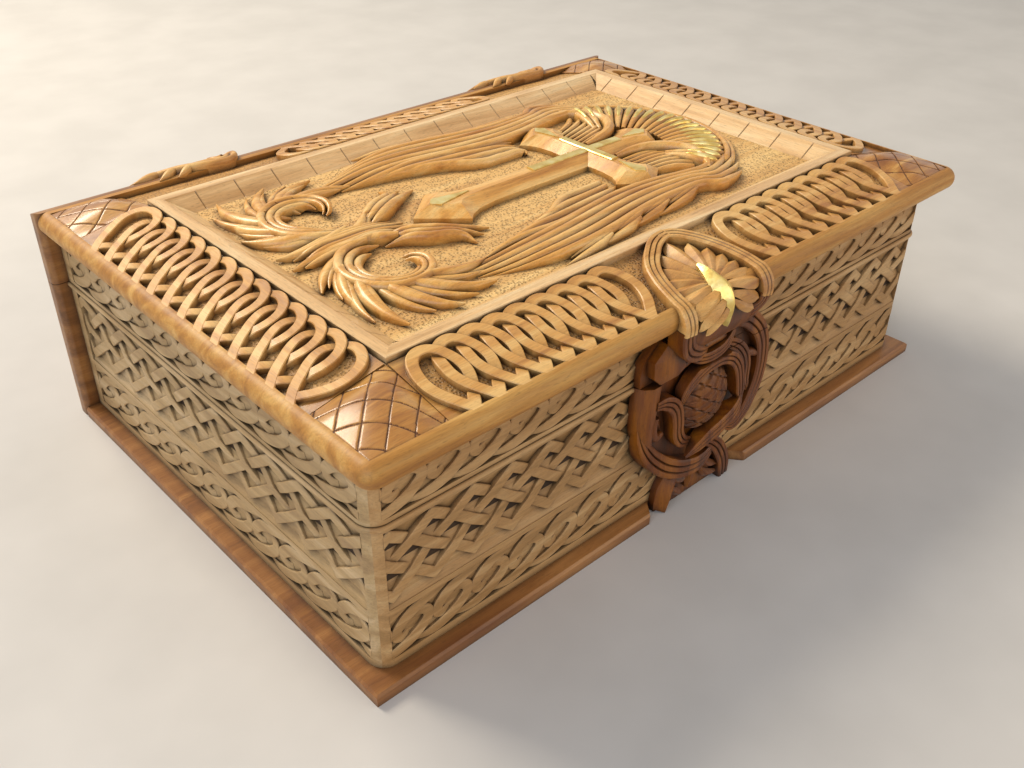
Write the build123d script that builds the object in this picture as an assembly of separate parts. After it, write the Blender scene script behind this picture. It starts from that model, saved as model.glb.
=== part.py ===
from build123d import *
from math import cos, hypot, pi, radians, sin
import os

# A book-shaped carved casket. Millimetres, +Z up, +X along the spine, the clasp faces -Y.
# The origin is at the middle of the whole depth, on the surface that the casket stands on.

# --- case -------------------------------------------------------------------------------------
wall_length = 360.0          # over the pale end walls
wall_depth = 242.0           # from the pale front face to the spine
wall_thickness = 12.0
back_wall_thickness = 10.0
corner_radius = 8.0          # front vertical corners of the pale walls
post_width = 6.0             # plain margin beside each corner
base_thickness = 5.5
base_projection = 7.6
base_chamfer = 1.0
case_height = 76.2           # to the parting
parting_gap = 0.3
spine_thickness = 14.0
spine_back_radius = 8.0
spine_front_radius = 3.0
floor_thickness = 4.0
lining_thickness = 1.5
lining_clearance = 0.5

# --- carved bands of the walls ----------------------------------------------------------------
carving_depth = 3.0
chain_band_bottom = 9.5
chain_band_top = 32.0
plait_band_bottom = 35.0
plait_band_top = 72.6
lid_band_margin = 2.0        # above the parting and below the top board
bead_height = 2.4
bead_proud = 1.2
bead_seat = 4.0
bead_edge_radius = 1.1

# --- lid --------------------------------------------------------------------------------------
lid_wall_height = 25.6
top_board_thickness = 11.0
bullnose_radius = 5.4
end_overhang = 7.4
front_overhang = 12.6
plan_corner_radius = 7.0
rebate_depth = 6.0
back_rim_width = 3.0
border_end_width = 34.0
border_front_width = 36.0
border_back_width = 30.0
border_rise = 7.1
strap_height = 3.0
frame_flat = 5.5
frame_splay = 9.5
panel_drop = 6.0

# --- relief on the cover ----------------------------------------------------------------------
cross_foot_gap = 69.0        # from the left edge of the panel
cross_head_gap = 40.0        # from the right edge of the panel
cross_head_length = 51.0     # from the middle of the arms to the head
cross_arm_reach = 48.0
cross_width = 19.0
cross_flare_width = 34.0
cross_flare_length = 17.0
cross_height = 9.0
cross_chamfer = 1.6
gilding_width = 5.0
gilding_height = 1.2
gilding_length = 68.0
gilding_span = 50.0
glory_gap = 18.0             # from the right edge of the panel
glory_radius = 53.0
glory_hub_radius = 27.0
glory_half_angle = 72.0
glory_height = 5.0
ray_count = 17
ray_relief = 1.4
gilt_ray_share = 0.42
smallest_ray = 12.0          # volume under which a ray that the cross cuts off is left out
spray_height = 6.0
spray_width = 24.0
spray_centre_y = 57.0
spray_wave = 4.0
spray_steps = 6
spray_gap = 3.0
scroll_gap = 4.0             # from the left edge of the panel
scroll_centre_y = 33.0
scroll_radius = 30.0
scroll_band = 12.0
scroll_eye_radius = 8.5
scroll_opening = 70.0
scroll_height = 6.5

# --- clasp ------------------------------------------------------------------------------------
clasp_reach = 18.4           # from the front face to the foremost point
medallion_centre_x = -2.0
medallion_centre_z = 59.0
medallion_radius = 43.0
medallion_plate = 5.0
ring_width = 12.0
ring_proud = 11.0
ring_edge_radius = 3.0
land_margin = 4.0
boss_centre_x = -7.0
boss_centre_z = 58.0
boss_half_length = 18.5
boss_half_width = 15.5
boss_proud = 12.5
boss_lean = 33.0             # the boss leans over to the right
boss_sink = 4.0
clasp_left = -40.0           # feet of the arch, where it runs over the edge of the board
clasp_right = 20.0
arch_apex_x = -1.0
arch_bulge = 0.17            # rise of each side of the arch over its chord
arch_strap = 6.5
arch_height = 4.2
clasp_ground_margin = 3.0
tongue_round = 5.0
tongue_lip = 4.0             # upright front of the tongue below the round
tongue_foot_z = 86.0         # where the tongue has run back to the ring
petal_count = 13
petal_length = 27.0
petal_width = 6.5
petal_height = 3.6
petal_half_angle = 84.0
petal_fan_x = -8.0
bud_length = 25.0
bud_width = 9.0
bud_slope = 28.0
bud_set_back = 12.4          # of the middle of the bud from the foremost point
bud_lift = 1.0               # of the middle of the bud over the top of the board
notch_half_width = 29.0
notch_chamfer = 6.0
foot_clearance = 0.3
foot_neck = 14.0
foot_height = 24.0
foot_proud = 9.5

# --- hinges and spine ornaments ---------------------------------------------------------------
hinge_offset_x = 109.0
hinge_width = 50.0
hinge_leaf_depth = 21.0
hinge_leaf_thickness = 1.5
hinge_axis_offset = 2.4      # behind the back face of the spine
knuckle_radius = 2.0
knuckle_count = 5
knuckle_gap = 0.3
pin_radius = 1.0
pin_running_clearance = 0.05
screw_spacing = 17.0
screw_inset = 7.0
screw_head_radius = 2.2
screw_head_height = 0.9
screw_shank_radius = 1.2
screw_length = 12.0
ornament_inner_x = 79.0
ornament_outer_x = 139.0
ornament_barrel = 13.0
ornament_proud = 3.0
barrel_proud = 3.6
ornament_tail = 12.0

# --- worked out from the sizes above ----------------------------------------------------------
hinge_reach = hinge_axis_offset + knuckle_radius
foot_half_width = notch_half_width - foot_clearance
half_length = wall_length / 2
half_depth = (clasp_reach + wall_depth + spine_thickness + hinge_reach) / 2
front_y = clasp_reach - half_depth
back_y = front_y + wall_depth
spine_back_y = back_y + spine_thickness
lid_bottom = case_height + parting_gap
board_bottom = lid_bottom + lid_wall_height
board_top = board_bottom + top_board_thickness
rebate_floor = board_top - rebate_depth
frame_top = board_top + border_rise
panel_top = frame_top - panel_drop
inner_left = half_length - wall_thickness
inner_front = front_y + wall_thickness
inner_back = back_y - back_wall_thickness
rim_x = half_length + end_overhang - bullnose_radius
rim_front = front_y - front_overhang + bullnose_radius
rim_back = back_y - back_rim_width
frame_x = rim_x - border_end_width
frame_front = rim_front + border_front_width
frame_back = rim_back - border_back_width
frame_width = frame_flat + frame_splay
panel_x = frame_x - frame_width
panel_front = frame_front + frame_width
panel_back = frame_back - frame_width
cross_foot_x = cross_foot_gap - panel_x
cross_head_x = panel_x - cross_head_gap
cross_centre_x = cross_head_x - cross_head_length
glory_centre_x = panel_x - glory_gap - glory_radius
scroll_centre_x = scroll_gap + scroll_radius - panel_x
hinge_y = spine_back_y + hinge_axis_offset
hinge_z = case_height + parting_gap / 2
OVER = 20.0                  # how far a cutting shape runs past what it cuts


def block(x_low, x_high, y_low, y_high, z_low, z_high):
    centre = Pos((x_low + x_high) / 2, (y_low + y_high) / 2, (z_low + z_high) / 2)
    return centre * Box(x_high - x_low, y_high - y_low, z_high - z_low)


def prism_along_x(points_yz, x_low, x_high):
    outline = Plane.YZ.offset(x_low) * Polygon(*points_yz, align=None)
    return extrude(outline, x_high - x_low, dir=(1, 0, 0))


def prism_along_y(points_xz, y_low, y_high):
    outline = Plane.XZ.offset(-y_low) * Polygon(*points_xz, align=None)
    return extrude(outline, y_high - y_low, dir=(0, 1, 0))


def prism_along_z(points_xy, z_low, z_high):
    outline = Plane.XY.offset(z_low) * Polygon(*points_xy, align=None)
    return extrude(outline, z_high - z_low, dir=(0, 0, 1))


def raised(outline, z_low, height):
    return extrude(Plane.XY.offset(z_low) * outline, height, dir=(0, 0, 1))


def cylinder_along_x(radius, x_low, x_high, y, z):
    return extrude(Plane.YZ.offset(x_low) * Pos(y, z) * Circle(radius), x_high - x_low)


def cylinder_along_y(radius, y_low, y_high, x, z):
    outline = Plane.XZ.offset(-y_low) * Pos(x, z) * Circle(radius)
    return extrude(outline, y_high - y_low, dir=(0, 1, 0))


def cylinder_along_z(radius, z_low, z_high, x, y):
    return extrude(Plane.XY.offset(z_low) * Pos(x, y) * Circle(radius), z_high - z_low)


def vertical_edges(shape, y_side):
    edges = shape.edges().filter_by(Axis.Z)
    return [edge for edge in edges if (edge.center().Y - shape.center().Y) * y_side > 0]


# --- pale walls -------------------------------------------------------------------------------
def front_region(z_low, z_high):
    reach = wall_thickness
    points = [
        (-half_length - OVER, front_y - OVER),
        (half_length + OVER, front_y - OVER),
        (half_length - reach, front_y + reach),
        (-half_length + reach, front_y + reach),
    ]
    return prism_along_z(points, z_low, z_high)


def end_region(side, z_low, z_high):
    outer = side * (half_length + OVER)
    inner = side * (half_length - wall_thickness)
    points = [(outer, front_y - OVER), (inner, inner_front), (inner, back_y), (outer, back_y)]
    return prism_along_z(points, z_low, z_high)


def outer_block(grow, z_low, z_high):
    solid = block(-half_length - grow, half_length + grow, front_y - grow, back_y, z_low, z_high)
    return fillet(vertical_edges(solid, -1), corner_radius + grow)


def wall_shell(z_low, z_high):
    hollow = block(-inner_left, inner_left, inner_front, back_y, z_low, z_high)
    return outer_block(0, z_low, z_high) - hollow


def clasp_land():
    # the uncarved wood that the medallion, its foot and the tongue are glued to
    low, high = front_y, front_y + carving_depth
    disc = cylinder_along_y(
        medallion_radius - land_margin, low, high, medallion_centre_x, medallion_centre_z
    )
    foot = block(
        -foot_half_width + land_margin, foot_half_width - land_margin,
        low, high, base_thickness, medallion_centre_z,
    )
    upper = block(
        clasp_left + land_margin, clasp_right - land_margin,
        low, high, medallion_centre_z, board_bottom,
    )
    return disc + foot + upper


def front_recess(z_low, z_high):
    reach = half_length - post_width
    return block(-reach, reach, front_y, front_y + carving_depth, z_low, z_high) - clasp_land()


def end_recess(side, z_low, z_high):
    outer = side * half_length
    inner = side * (half_length - carving_depth)
    low, high = min(outer, inner), max(outer, inner)
    return block(low, high, front_y + post_width, back_y - post_width, z_low, z_high)


case_bands = [(chain_band_bottom, chain_band_top), (plait_band_bottom, plait_band_top)]
lid_bands = [(lid_bottom + lid_band_margin, board_bottom - lid_band_margin)]


def pale_front_wall(z_low, z_high, bands):
    wall = wall_shell(z_low, z_high) & front_region(z_low, z_high)
    for low, high in bands:
        wall -= front_recess(low, high)
    return wall


def pale_end_wall(side, z_low, z_high, bands):
    wall = wall_shell(z_low, z_high) & end_region(side, z_low, z_high)
    for low, high in bands:
        wall -= end_recess(side, low, high)
    return wall


def pale_back_wall(z_low, z_high):
    return block(-inner_left, inner_left, inner_back, back_y, z_low, z_high)


def bead_ring(grow):
    z_low = case_height - bead_height
    ring = outer_block(grow, z_low, case_height)
    inner_x = half_length - bead_seat
    return ring - block(-inner_x, inner_x, front_y + bead_seat, back_y, z_low, case_height)


def medallion_disc(radius, proud):
    low = front_y - proud
    return cylinder_along_y(radius, low, front_y, medallion_centre_x, medallion_centre_z)


def rim_beads():
    z_low = case_height - bead_height
    ring = bead_ring(bead_proud)
    reach = half_length + bead_proud / 2
    outline = [
        edge for edge in ring.edges()
        if edge.center().Y < front_y or abs(edge.center().X) > reach
        if abs(edge.bounding_box().size.Z) < bead_edge_radius
        if edge.center().Y < back_y - bead_edge_radius
    ]
    ring = fillet(outline, bead_edge_radius) - medallion_disc(medallion_radius, bead_proud)
    return {
        "case_rim_bead_front": ring & front_region(z_low, case_height),
        "case_rim_bead_left": ring & end_region(-1, z_low, case_height),
        "case_rim_bead_right": ring & end_region(1, z_low, case_height),
    }


# --- base, floor and spine --------------------------------------------------------------------
def base_board():
    reach = half_length + base_projection
    front = front_y - base_projection
    board = block(-reach, reach, front, back_y, 0, base_thickness)
    rim = [
        edge for edge in board.edges().filter_by_position(Axis.Z, base_thickness, base_thickness)
        if edge.center().Y < back_y - 1
    ]
    board = chamfer(rim, base_chamfer)
    deep = front_y
    points = [
        (-notch_half_width - notch_chamfer, front - OVER),
        (notch_half_width + notch_chamfer, front - OVER),
        (notch_half_width + notch_chamfer, front),
        (notch_half_width, deep),
        (-notch_half_width, deep),
        (-notch_half_width - notch_chamfer, front),
    ]
    return board - prism_along_z(points, 0, base_thickness)


def case_floor():
    return block(-inner_left, inner_left, inner_front, inner_back, base_thickness, floor_top)


floor_top = base_thickness + floor_thickness


def lining(z_low):
    reach = inner_left - lining_clearance
    front = inner_front + lining_clearance
    back = inner_back - lining_clearance
    return block(-reach, reach, front, back, z_low, z_low + lining_thickness)


def spine_bar(z_low, z_high):
    reach = half_length + base_projection
    bar = block(-reach, reach, back_y, spine_back_y, z_low, z_high)
    bar = fillet(vertical_edges(bar, 1), spine_back_radius)
    return fillet(vertical_edges(bar, -1), spine_front_radius)


def shoulder_profile(grow, x_low, x_high):
    # a quarter round over the back of the spine, down to the parting
    radius = spine_thickness + grow
    centre_z = board_top - spine_thickness
    drum = cylinder_along_x(radius, x_low, x_high, back_y, centre_z)
    over = block(x_low, x_high, back_y, back_y + radius, centre_z, centre_z + radius)
    below = block(x_low, x_high, back_y, back_y + radius, lid_bottom, centre_z)
    return (drum & over) + below


def case_spine():
    return spine_bar(0, case_height)


def lid_spine():
    reach = half_length + base_projection
    return spine_bar(lid_bottom, board_top) & shoulder_profile(0, -reach, reach)


# --- top board and its borders ----------------------------------------------------------------
def plain_top_board():
    reach = half_length + end_overhang
    board = block(-reach, reach, front_y - front_overhang, back_y, board_bottom, board_top)
    board = fillet(vertical_edges(board, -1), plan_corner_radius)
    rim = [
        edge for edge in board.edges()
        if edge.bounding_box().size.Z < bullnose_radius
        if edge.center().Y < back_y - 1
    ]
    return fillet(rim, bullnose_radius)


def top_board():
    tray = block(-rim_x, rim_x, rim_front, rim_back, rebate_floor, board_top)
    return plain_top_board() - tray


ground_outer = board_top - strap_height
ground_inner = frame_top - strap_height


def slope_points(outer, inner, outer_z, inner_z):
    return [(outer, rebate_floor), (outer, outer_z), (inner, inner_z), (inner, rebate_floor)]


def border_ground(low, high, depth):
    # the sunk ground of a border, lying along X with its outer edge at -Y and rising inwards
    return prism_along_x(slope_points(0, depth, ground_outer, ground_inner), low, high)


def clasp_ground():
    low, high = clasp_left - clasp_ground_margin, clasp_right + clasp_ground_margin
    return Pos(0, rim_front, 0) * border_ground(low, high, border_front_width)


def borders():
    low, high = clasp_left - clasp_ground_margin, clasp_right + clasp_ground_margin
    end_middle = (frame_back + frame_front) / 2
    end_half = (frame_back - frame_front) / 2
    end = border_ground(-end_half, end_half, border_end_width)
    back = border_ground(-frame_x, frame_x, border_back_width)
    front = Pos(0, rim_front, 0)
    return {
        "front_left_border": front * border_ground(-frame_x, low, border_front_width),
        "front_right_border": front * border_ground(high, frame_x, border_front_width),
        "clasp_ground": clasp_ground(),
        "back_border": Pos(0, rim_back, 0) * Rot(0, 0, 180) * back,
        "left_border": Pos(-rim_x, end_middle, 0) * Rot(0, 0, -90) * end,
        "right_border": Pos(rim_x, end_middle, 0) * Rot(0, 0, 90) * end,
    }


def corner_boss(side, outer_y, inner_y):
    # a hipped corner: the two slopes meet along the diagonal
    low, high = sorted((side * rim_x, side * frame_x))
    across = prism_along_y(
        slope_points(side * rim_x, side * frame_x, board_top, frame_top),
        min(outer_y, inner_y), max(outer_y, inner_y),
    )
    along = prism_along_x(slope_points(outer_y, inner_y, board_top, frame_top), low, high)
    return across & along


def corner_bosses():
    bosses = {}
    for side, name in ((-1, "left"), (1, "right")):
        bosses["front_" + name + "_corner_boss"] = corner_boss(side, rim_front, frame_front)
        bosses["back_" + name + "_corner_boss"] = corner_boss(side, rim_back, frame_back)
    return bosses


def splay_points(outer, inner):
    step = frame_flat if inner > outer else -frame_flat
    return [
        (outer, rebate_floor), (outer, frame_top), (outer + step, frame_top),
        (inner, panel_top), (inner, rebate_floor),
    ]


def frame_mouldings():
    z_low, z_high = rebate_floor, frame_top
    centre_y = (frame_front + frame_back) / 2
    half_y = (frame_back - frame_front) / 2
    pieces = {}
    for side, name in ((-1, "left"), (1, "right")):
        bar = prism_along_y(splay_points(side * frame_x, side * panel_x), frame_front, frame_back)
        mitre = prism_along_z([
            (side * frame_x, frame_front), (side * frame_x, frame_back),
            (side * panel_x, panel_back), (side * panel_x, panel_front),
        ], z_low, z_high)
        pieces[name + "_frame_moulding"] = bar & mitre
    for side, name in ((-1, "front"), (1, "back")):
        outer_y = centre_y + side * half_y
        inner_y = centre_y + side * (half_y - frame_width)
        bar = prism_along_x(splay_points(outer_y, inner_y), -frame_x, frame_x)
        mitre = prism_along_z([
            (-frame_x, outer_y), (frame_x, outer_y), (panel_x, inner_y), (-panel_x, inner_y),
        ], z_low, z_high)
        pieces[name + "_frame_moulding"] = bar & mitre
    return pieces


def cover_panel():
    return block(-panel_x, panel_x, panel_front, panel_back, rebate_floor, panel_top)


# --- relief on the cover ----------------------------------------------------------------------
relief_y = (panel_front + panel_back) / 2


def bar_outline(start, end):
    # a bar along X with flared ends
    half, wide, run = cross_width / 2, cross_flare_width / 2, cross_flare_length
    upper = [(start, wide), (start + run, half), (end - run, half), (end, wide)]
    lower = [(x, -y) for x, y in reversed(upper)]
    return Polygon(*(upper + lower), align=None)


def cross_outline():
    shaft = bar_outline(cross_foot_x, cross_head_x)
    arms = Rot(0, 0, 90) * bar_outline(-cross_arm_reach, cross_arm_reach)
    return Pos(0, relief_y) * (shaft + Pos(cross_centre_x, 0) * arms)


def cross():
    solid = raised(cross_outline(), panel_top, cross_height)
    rim = solid.edges().filter_by_position(Axis.Z, cross_top, cross_top)
    return chamfer(rim, cross_chamfer)


cross_top = panel_top + cross_height


def cross_gilding():
    long_strip = block(
        cross_centre_x - gilding_length * 0.6, cross_centre_x + gilding_length * 0.4,
        relief_y - gilding_width / 2, relief_y + gilding_width / 2,
        cross_top, cross_top + gilding_height,
    )
    short_strip = block(
        cross_centre_x - gilding_width / 2, cross_centre_x + gilding_width / 2,
        relief_y - gilding_span / 2, relief_y + gilding_span / 2,
        cross_top, cross_top + gilding_height,
    )
    return long_strip + short_strip


def ray_sector(centre_angle, half_angle, inner, outer, z_low, z_high):
    start, end = radians(centre_angle - half_angle), radians(centre_angle + half_angle)
    corners = [(inner, start), (outer, start), (outer, end), (inner, end)]
    points = [
        (glory_centre_x + radius * cos(angle), relief_y + radius * sin(angle))
        for radius, angle in corners if radius or angle == start
    ]
    return prism_along_z(points, z_low, z_high)


def glory():
    # a flat fan behind the head of the cross, with one gilt ray on each of its flutes
    top = panel_top + glory_height
    ring = Circle(glory_radius) - Circle(glory_hub_radius)
    disc = raised(Pos(glory_centre_x, relief_y) * ring, panel_top, glory_height)
    wedge = ray_sector(0, glory_half_angle, 0, 4 * glory_radius, panel_top, top)
    room = raised(cross_outline(), panel_top, cross_height)
    step = 2 * glory_half_angle / ray_count
    gilt = []
    for index in range(ray_count):
        middle = -glory_half_angle + (index + 0.5) * step
        inner = glory_hub_radius + ray_relief
        outer = glory_radius - 2 * ray_relief
        half = step * gilt_ray_share / 2
        ray = ray_sector(middle, half, inner, outer, top, top + ray_relief) - room
        gilt += [solid for solid in ray.solids() if solid.volume > smallest_ray]
    return (disc & wedge) - room, Compound(children=gilt)


def spray_edge(side, offset):
    # one long wave beside the cross, from the scroll to the glory
    start = scroll_centre_x + scroll_radius + spray_gap
    end = glory_centre_x
    points = []
    for step in range(spray_steps + 1):
        share = step / spray_steps
        wave = spray_wave * sin(2 * pi * share)
        taper = sin(pi * (0.12 + 0.76 * share)) ** 0.5
        points.append((
            start + share * (end - start),
            relief_y + side * (spray_centre_y + wave + offset * taper),
        ))
    return points


def leaf_spray(side):
    inner = spray_edge(side, -spray_width / 2)
    outer = spray_edge(side, spray_width / 2)
    lines = Spline(*inner) + Line(inner[-1], outer[-1]) + Spline(*outer) + Line(inner[0], outer[0])
    solid = raised(make_face(lines), panel_top, spray_height)
    fan = Pos(glory_centre_x, relief_y) * Circle(glory_radius + spray_gap)
    room = raised(cross_outline() + fan, panel_top, cross_height)
    return max((solid - room).solids(), key=lambda piece: piece.volume)


def scroll(side):
    # an open ring with an eye, joined by a bridge
    centre = Pos(scroll_centre_x, relief_y + side * scroll_centre_y)
    ring = Circle(scroll_radius) - Circle(scroll_radius - scroll_band)
    gap = Rot(0, 0, side * scroll_opening / 2) * Pos(scroll_radius, 0) * Rectangle(
        scroll_radius * 2 - scroll_eye_radius * 2, scroll_band * 0.8
    )
    bridge = Pos(-(scroll_radius - scroll_band / 2) / 2, 0) * Rectangle(
        scroll_radius - scroll_band / 2, scroll_band / 2
    )
    outline = centre * (ring - gap + bridge + Circle(scroll_eye_radius))
    return raised(outline, panel_top, scroll_height)


# --- clasp ------------------------------------------------------------------------------------
def medallion():
    band = medallion_disc(medallion_radius, ring_proud)
    band -= medallion_disc(medallion_radius - ring_width, ring_proud)
    rim = band.edges().filter_by_position(Axis.Y, front_y - ring_proud, front_y - ring_proud)
    return medallion_disc(medallion_radius, medallion_plate) + fillet(rim, ring_edge_radius)


def everything_between(z_low, z_high):
    reach = wall_length
    return block(-reach, reach, -reach, reach, z_low, z_high)


def medallion_lower():
    return medallion() & everything_between(0, case_height) - foot_leaves()


def tongue():
    # runs from the ring up over the rounded edge of the board
    front = front_y - clasp_reach
    profile = [
        (front_y, lid_bottom), (front_y - ring_proud, lid_bottom),
        (front_y - ring_proud, tongue_foot_z), (front, board_bottom - tongue_lip),
        (front, board_top), (front_y, board_top),
    ]
    solid = prism_along_x(profile, clasp_left, clasp_right)
    edges = [
        edge for edge in solid.edges()
        if edge.center().Y < front_y - ring_proud - 0.1
        if edge.center().Z > tongue_foot_z + 0.1
        if abs(edge.center().Z - board_bottom + tongue_lip) > 0.1
    ]
    return fillet(edges, tongue_round) - plain_top_board()


def medallion_upper():
    return (medallion() & everything_between(lid_bottom, board_bottom)) + tongue()


def lattice_boss():
    half_height = boss_proud - medallion_plate + boss_sink
    dome = scale(Sphere(1), (boss_half_width, half_height, boss_half_length))
    face = front_y - medallion_plate
    dome = Pos(boss_centre_x, face + boss_sink, boss_centre_z) * Rot(0, boss_lean, 0) * dome
    return dome & block(-wall_length, wall_length, front_y - clasp_reach, face, 0, case_height)


def foot_leaves():
    outline = [
        (-foot_half_width, 0), (foot_half_width, 0),
        (foot_neck, foot_height), (-foot_neck, foot_height),
    ]
    return prism_along_y(outline, front_y - foot_proud, front_y)


front_slope = Plane(
    origin=(0, rim_front, ground_outer),
    x_dir=(1, 0, 0),
    z_dir=(0, -border_rise, border_front_width),
)
front_slope_length = hypot(border_rise, border_front_width)


def on_slope(outline, lift, height):
    return extrude(front_slope * Pos(0, 0, lift) * outline, height, dir=front_slope.z_dir)


def arch_outline(inset, apex_inset):
    # two bowed sides that meet in a point, with their feet on the edge of the board
    left, right = (clasp_left + inset, 0), (clasp_right - inset, 0)
    apex = (arch_apex_x, front_slope_length - apex_inset)
    return make_face(bowed(left, apex, 1) + bowed(apex, right, 1) + Line(right, left))


def bowed(start, end, side):
    across = (end[1] - start[1], start[0] - end[0])
    middle = [(a + b) / 2 - side * arch_bulge * c for a, b, c in zip(start, end, across)]
    return ThreePointArc(start, tuple(middle), end)


def clasp_arch():
    outer = arch_outline(0, 0)
    inner = arch_outline(arch_strap, arch_strap)
    return on_slope(outer - inner, 0, arch_height) & over_front_border()


def over_front_border():
    return block(-wall_length, wall_length, rim_front, frame_front, rebate_floor, wall_length)


def palmette():
    petals = Circle(petal_width)
    for index in range(petal_count):
        angle = 90 - petal_half_angle + index * 2 * petal_half_angle / (petal_count - 1)
        petal = Pos(petal_length / 2, 0) * SlotOverall(petal_length, petal_width)
        petals += Rot(0, 0, angle) * petal
    outline = Pos(petal_fan_x, 0) * petals & arch_outline(arch_strap, arch_strap)
    return on_slope(outline, 0, petal_height) & over_front_border()


def gilt_bud():
    # an egg that lies on the palmette and hangs over the edge of the board
    egg = scale(Sphere(1), (bud_width / 2, bud_length / 2, bud_width / 2))
    y = front_y - clasp_reach + bud_set_back
    egg = Pos(petal_fan_x, y, board_top + bud_lift) * Rot(bud_slope, 0, 0) * egg
    seat = block(-wall_length, wall_length, rim_front, back_y, 0, rebate_floor)
    return egg - tongue() - plain_top_board() - palmette() - clasp_ground() - seat


# --- hinges -----------------------------------------------------------------------------------
def knuckle_span(index):
    pitch = hinge_width / knuckle_count
    start = -hinge_width / 2 + index * pitch
    low = start + (knuckle_gap / 2 if index else 0)
    high = start + pitch - (knuckle_gap / 2 if index < knuckle_count - 1 else 0)
    return low, high


def leaf(x, z_low, own, bore):
    z_high = z_low + hinge_leaf_thickness
    plate = block(
        x - hinge_width / 2, x + hinge_width / 2,
        spine_back_y - hinge_leaf_depth, spine_back_y, z_low, z_high,
    )
    for index in own:
        low, high = knuckle_span(index)
        plate += block(x + low, x + high, spine_back_y, hinge_y, z_low, z_high)
        plate += cylinder_along_x(knuckle_radius, x + low, x + high, hinge_y, hinge_z)
    reach = hinge_width
    return plate - cylinder_along_x(bore, x - reach, x + reach, hinge_y, hinge_z)


def screw_places():
    places = []
    for x in (-hinge_offset_x, hinge_offset_x):
        for step in (-1, 0, 1):
            places.append((x + step * screw_spacing, spine_back_y - screw_inset))
    return places


def screws(face_z, up):
    solids = []
    for x, y in screw_places():
        head_low, head_high = sorted((face_z, face_z + up * screw_head_height))
        shank_low, shank_high = sorted((face_z, face_z + up * screw_length))
        head = cylinder_along_z(screw_head_radius, head_low, head_high, x, y)
        solids.append(head + cylinder_along_z(screw_shank_radius, shank_low, shank_high, x, y))
    return Compound(children=solids)


def hinges():
    case_own = range(0, knuckle_count, 2)
    lid_own = range(1, knuckle_count, 2)
    case_screws = screws(case_height, -1)
    lid_screws = screws(lid_bottom, 1)
    parts = {"case_hinge_screws": case_screws, "lid_hinge_screws": lid_screws}
    for x, name in ((-hinge_offset_x, "left"), (hinge_offset_x, "right")):
        case_leaf = leaf(x, case_height - hinge_leaf_thickness, case_own, pin_radius)
        lid_leaf = leaf(x, lid_bottom, lid_own, pin_radius + pin_running_clearance)
        parts[name + "_hinge_case_leaf"] = case_leaf - case_screws
        parts[name + "_hinge_lid_leaf"] = lid_leaf - lid_screws
        parts[name + "_hinge_pin"] = cylinder_along_x(
            pin_radius, x - hinge_width / 2, x + hinge_width / 2, hinge_y, hinge_z
        )
    return parts


def hinge_mortises(z_low):
    cuts = []
    for x in (-hinge_offset_x, hinge_offset_x):
        cuts.append(block(
            x - hinge_width / 2, x + hinge_width / 2,
            spine_back_y - hinge_leaf_depth, spine_back_y, z_low, z_low + hinge_leaf_thickness,
        ))
    return cuts


def let_in(wood, z_low, screw_group):
    for cut in hinge_mortises(z_low):
        wood -= cut
    return wood - screw_group


def spine_ornament(side):
    barrel_x = ornament_inner_x + ornament_barrel
    low = lid_bottom + ornament_tail
    keep = block(-wall_length, wall_length, back_y, wall_length, low, wall_length)
    strap = shoulder_profile(ornament_proud, barrel_x, ornament_outer_x)
    barrel = shoulder_profile(barrel_proud, ornament_inner_x, barrel_x)
    core = shoulder_profile(0, ornament_inner_x, ornament_outer_x)
    solid = (strap + barrel - core) & keep
    return solid if side > 0 else mirror(solid, Plane.YZ)


# --- the whole casket -------------------------------------------------------------------------
def casket():
    parts = hinges()
    case_screws = parts["case_hinge_screws"]
    lid_screws = parts["lid_hinge_screws"]
    case_leaf_z = case_height - hinge_leaf_thickness
    seat = bead_ring(0)
    parts["base_board"] = base_board()
    parts["case_front_wall"] = pale_front_wall(base_thickness, case_height, case_bands) - seat
    parts["case_left_wall"] = pale_end_wall(-1, base_thickness, case_height, case_bands) - seat
    parts["case_right_wall"] = pale_end_wall(1, base_thickness, case_height, case_bands) - seat
    parts["case_back_wall"] = let_in(
        pale_back_wall(base_thickness, case_height), case_leaf_z, case_screws
    )
    parts["case_spine"] = let_in(case_spine(), case_leaf_z, case_screws)
    parts.update(rim_beads())
    parts["case_floor"] = case_floor()
    parts["case_lining"] = lining(floor_top)
    parts["medallion_lower"] = medallion_lower()
    parts["lattice_boss"] = lattice_boss()
    parts["foot_leaves"] = foot_leaves()

    parts["top_board"] = top_board()
    parts.update(borders())
    parts.update(corner_bosses())
    parts.update(frame_mouldings())
    parts["cover_panel"] = cover_panel()
    parts["cross"] = cross()
    parts["cross_gilding"] = cross_gilding()
    parts["glory_fan"], parts["glory_gilding"] = glory()
    parts["front_leaf_spray"] = leaf_spray(-1)
    parts["back_leaf_spray"] = leaf_spray(1)
    parts["front_scroll"] = scroll(-1)
    parts["back_scroll"] = scroll(1)
    parts["lid_front_wall"] = pale_front_wall(lid_bottom, board_bottom, lid_bands)
    parts["lid_left_wall"] = pale_end_wall(-1, lid_bottom, board_bottom, lid_bands)
    parts["lid_right_wall"] = pale_end_wall(1, lid_bottom, board_bottom, lid_bands)
    parts["lid_back_wall"] = let_in(pale_back_wall(lid_bottom, board_bottom), lid_bottom, lid_screws)
    parts["lid_spine"] = let_in(lid_spine(), lid_bottom, lid_screws)
    parts["left_spine_ornament"] = spine_ornament(-1)
    parts["right_spine_ornament"] = spine_ornament(1)
    parts["clasp_arch"] = clasp_arch()
    parts["palmette"] = palmette()
    parts["gilt_bud"] = gilt_bud()
    parts["medallion_upper"] = medallion_upper()
    parts["lid_lining"] = lining(board_bottom - lining_thickness)
    return parts


def write_parts():
    os.makedirs("parts", exist_ok=True)
    for name, shape in casket().items():
        export_step(shape, "parts/" + name + ".step")


write_parts()
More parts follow.
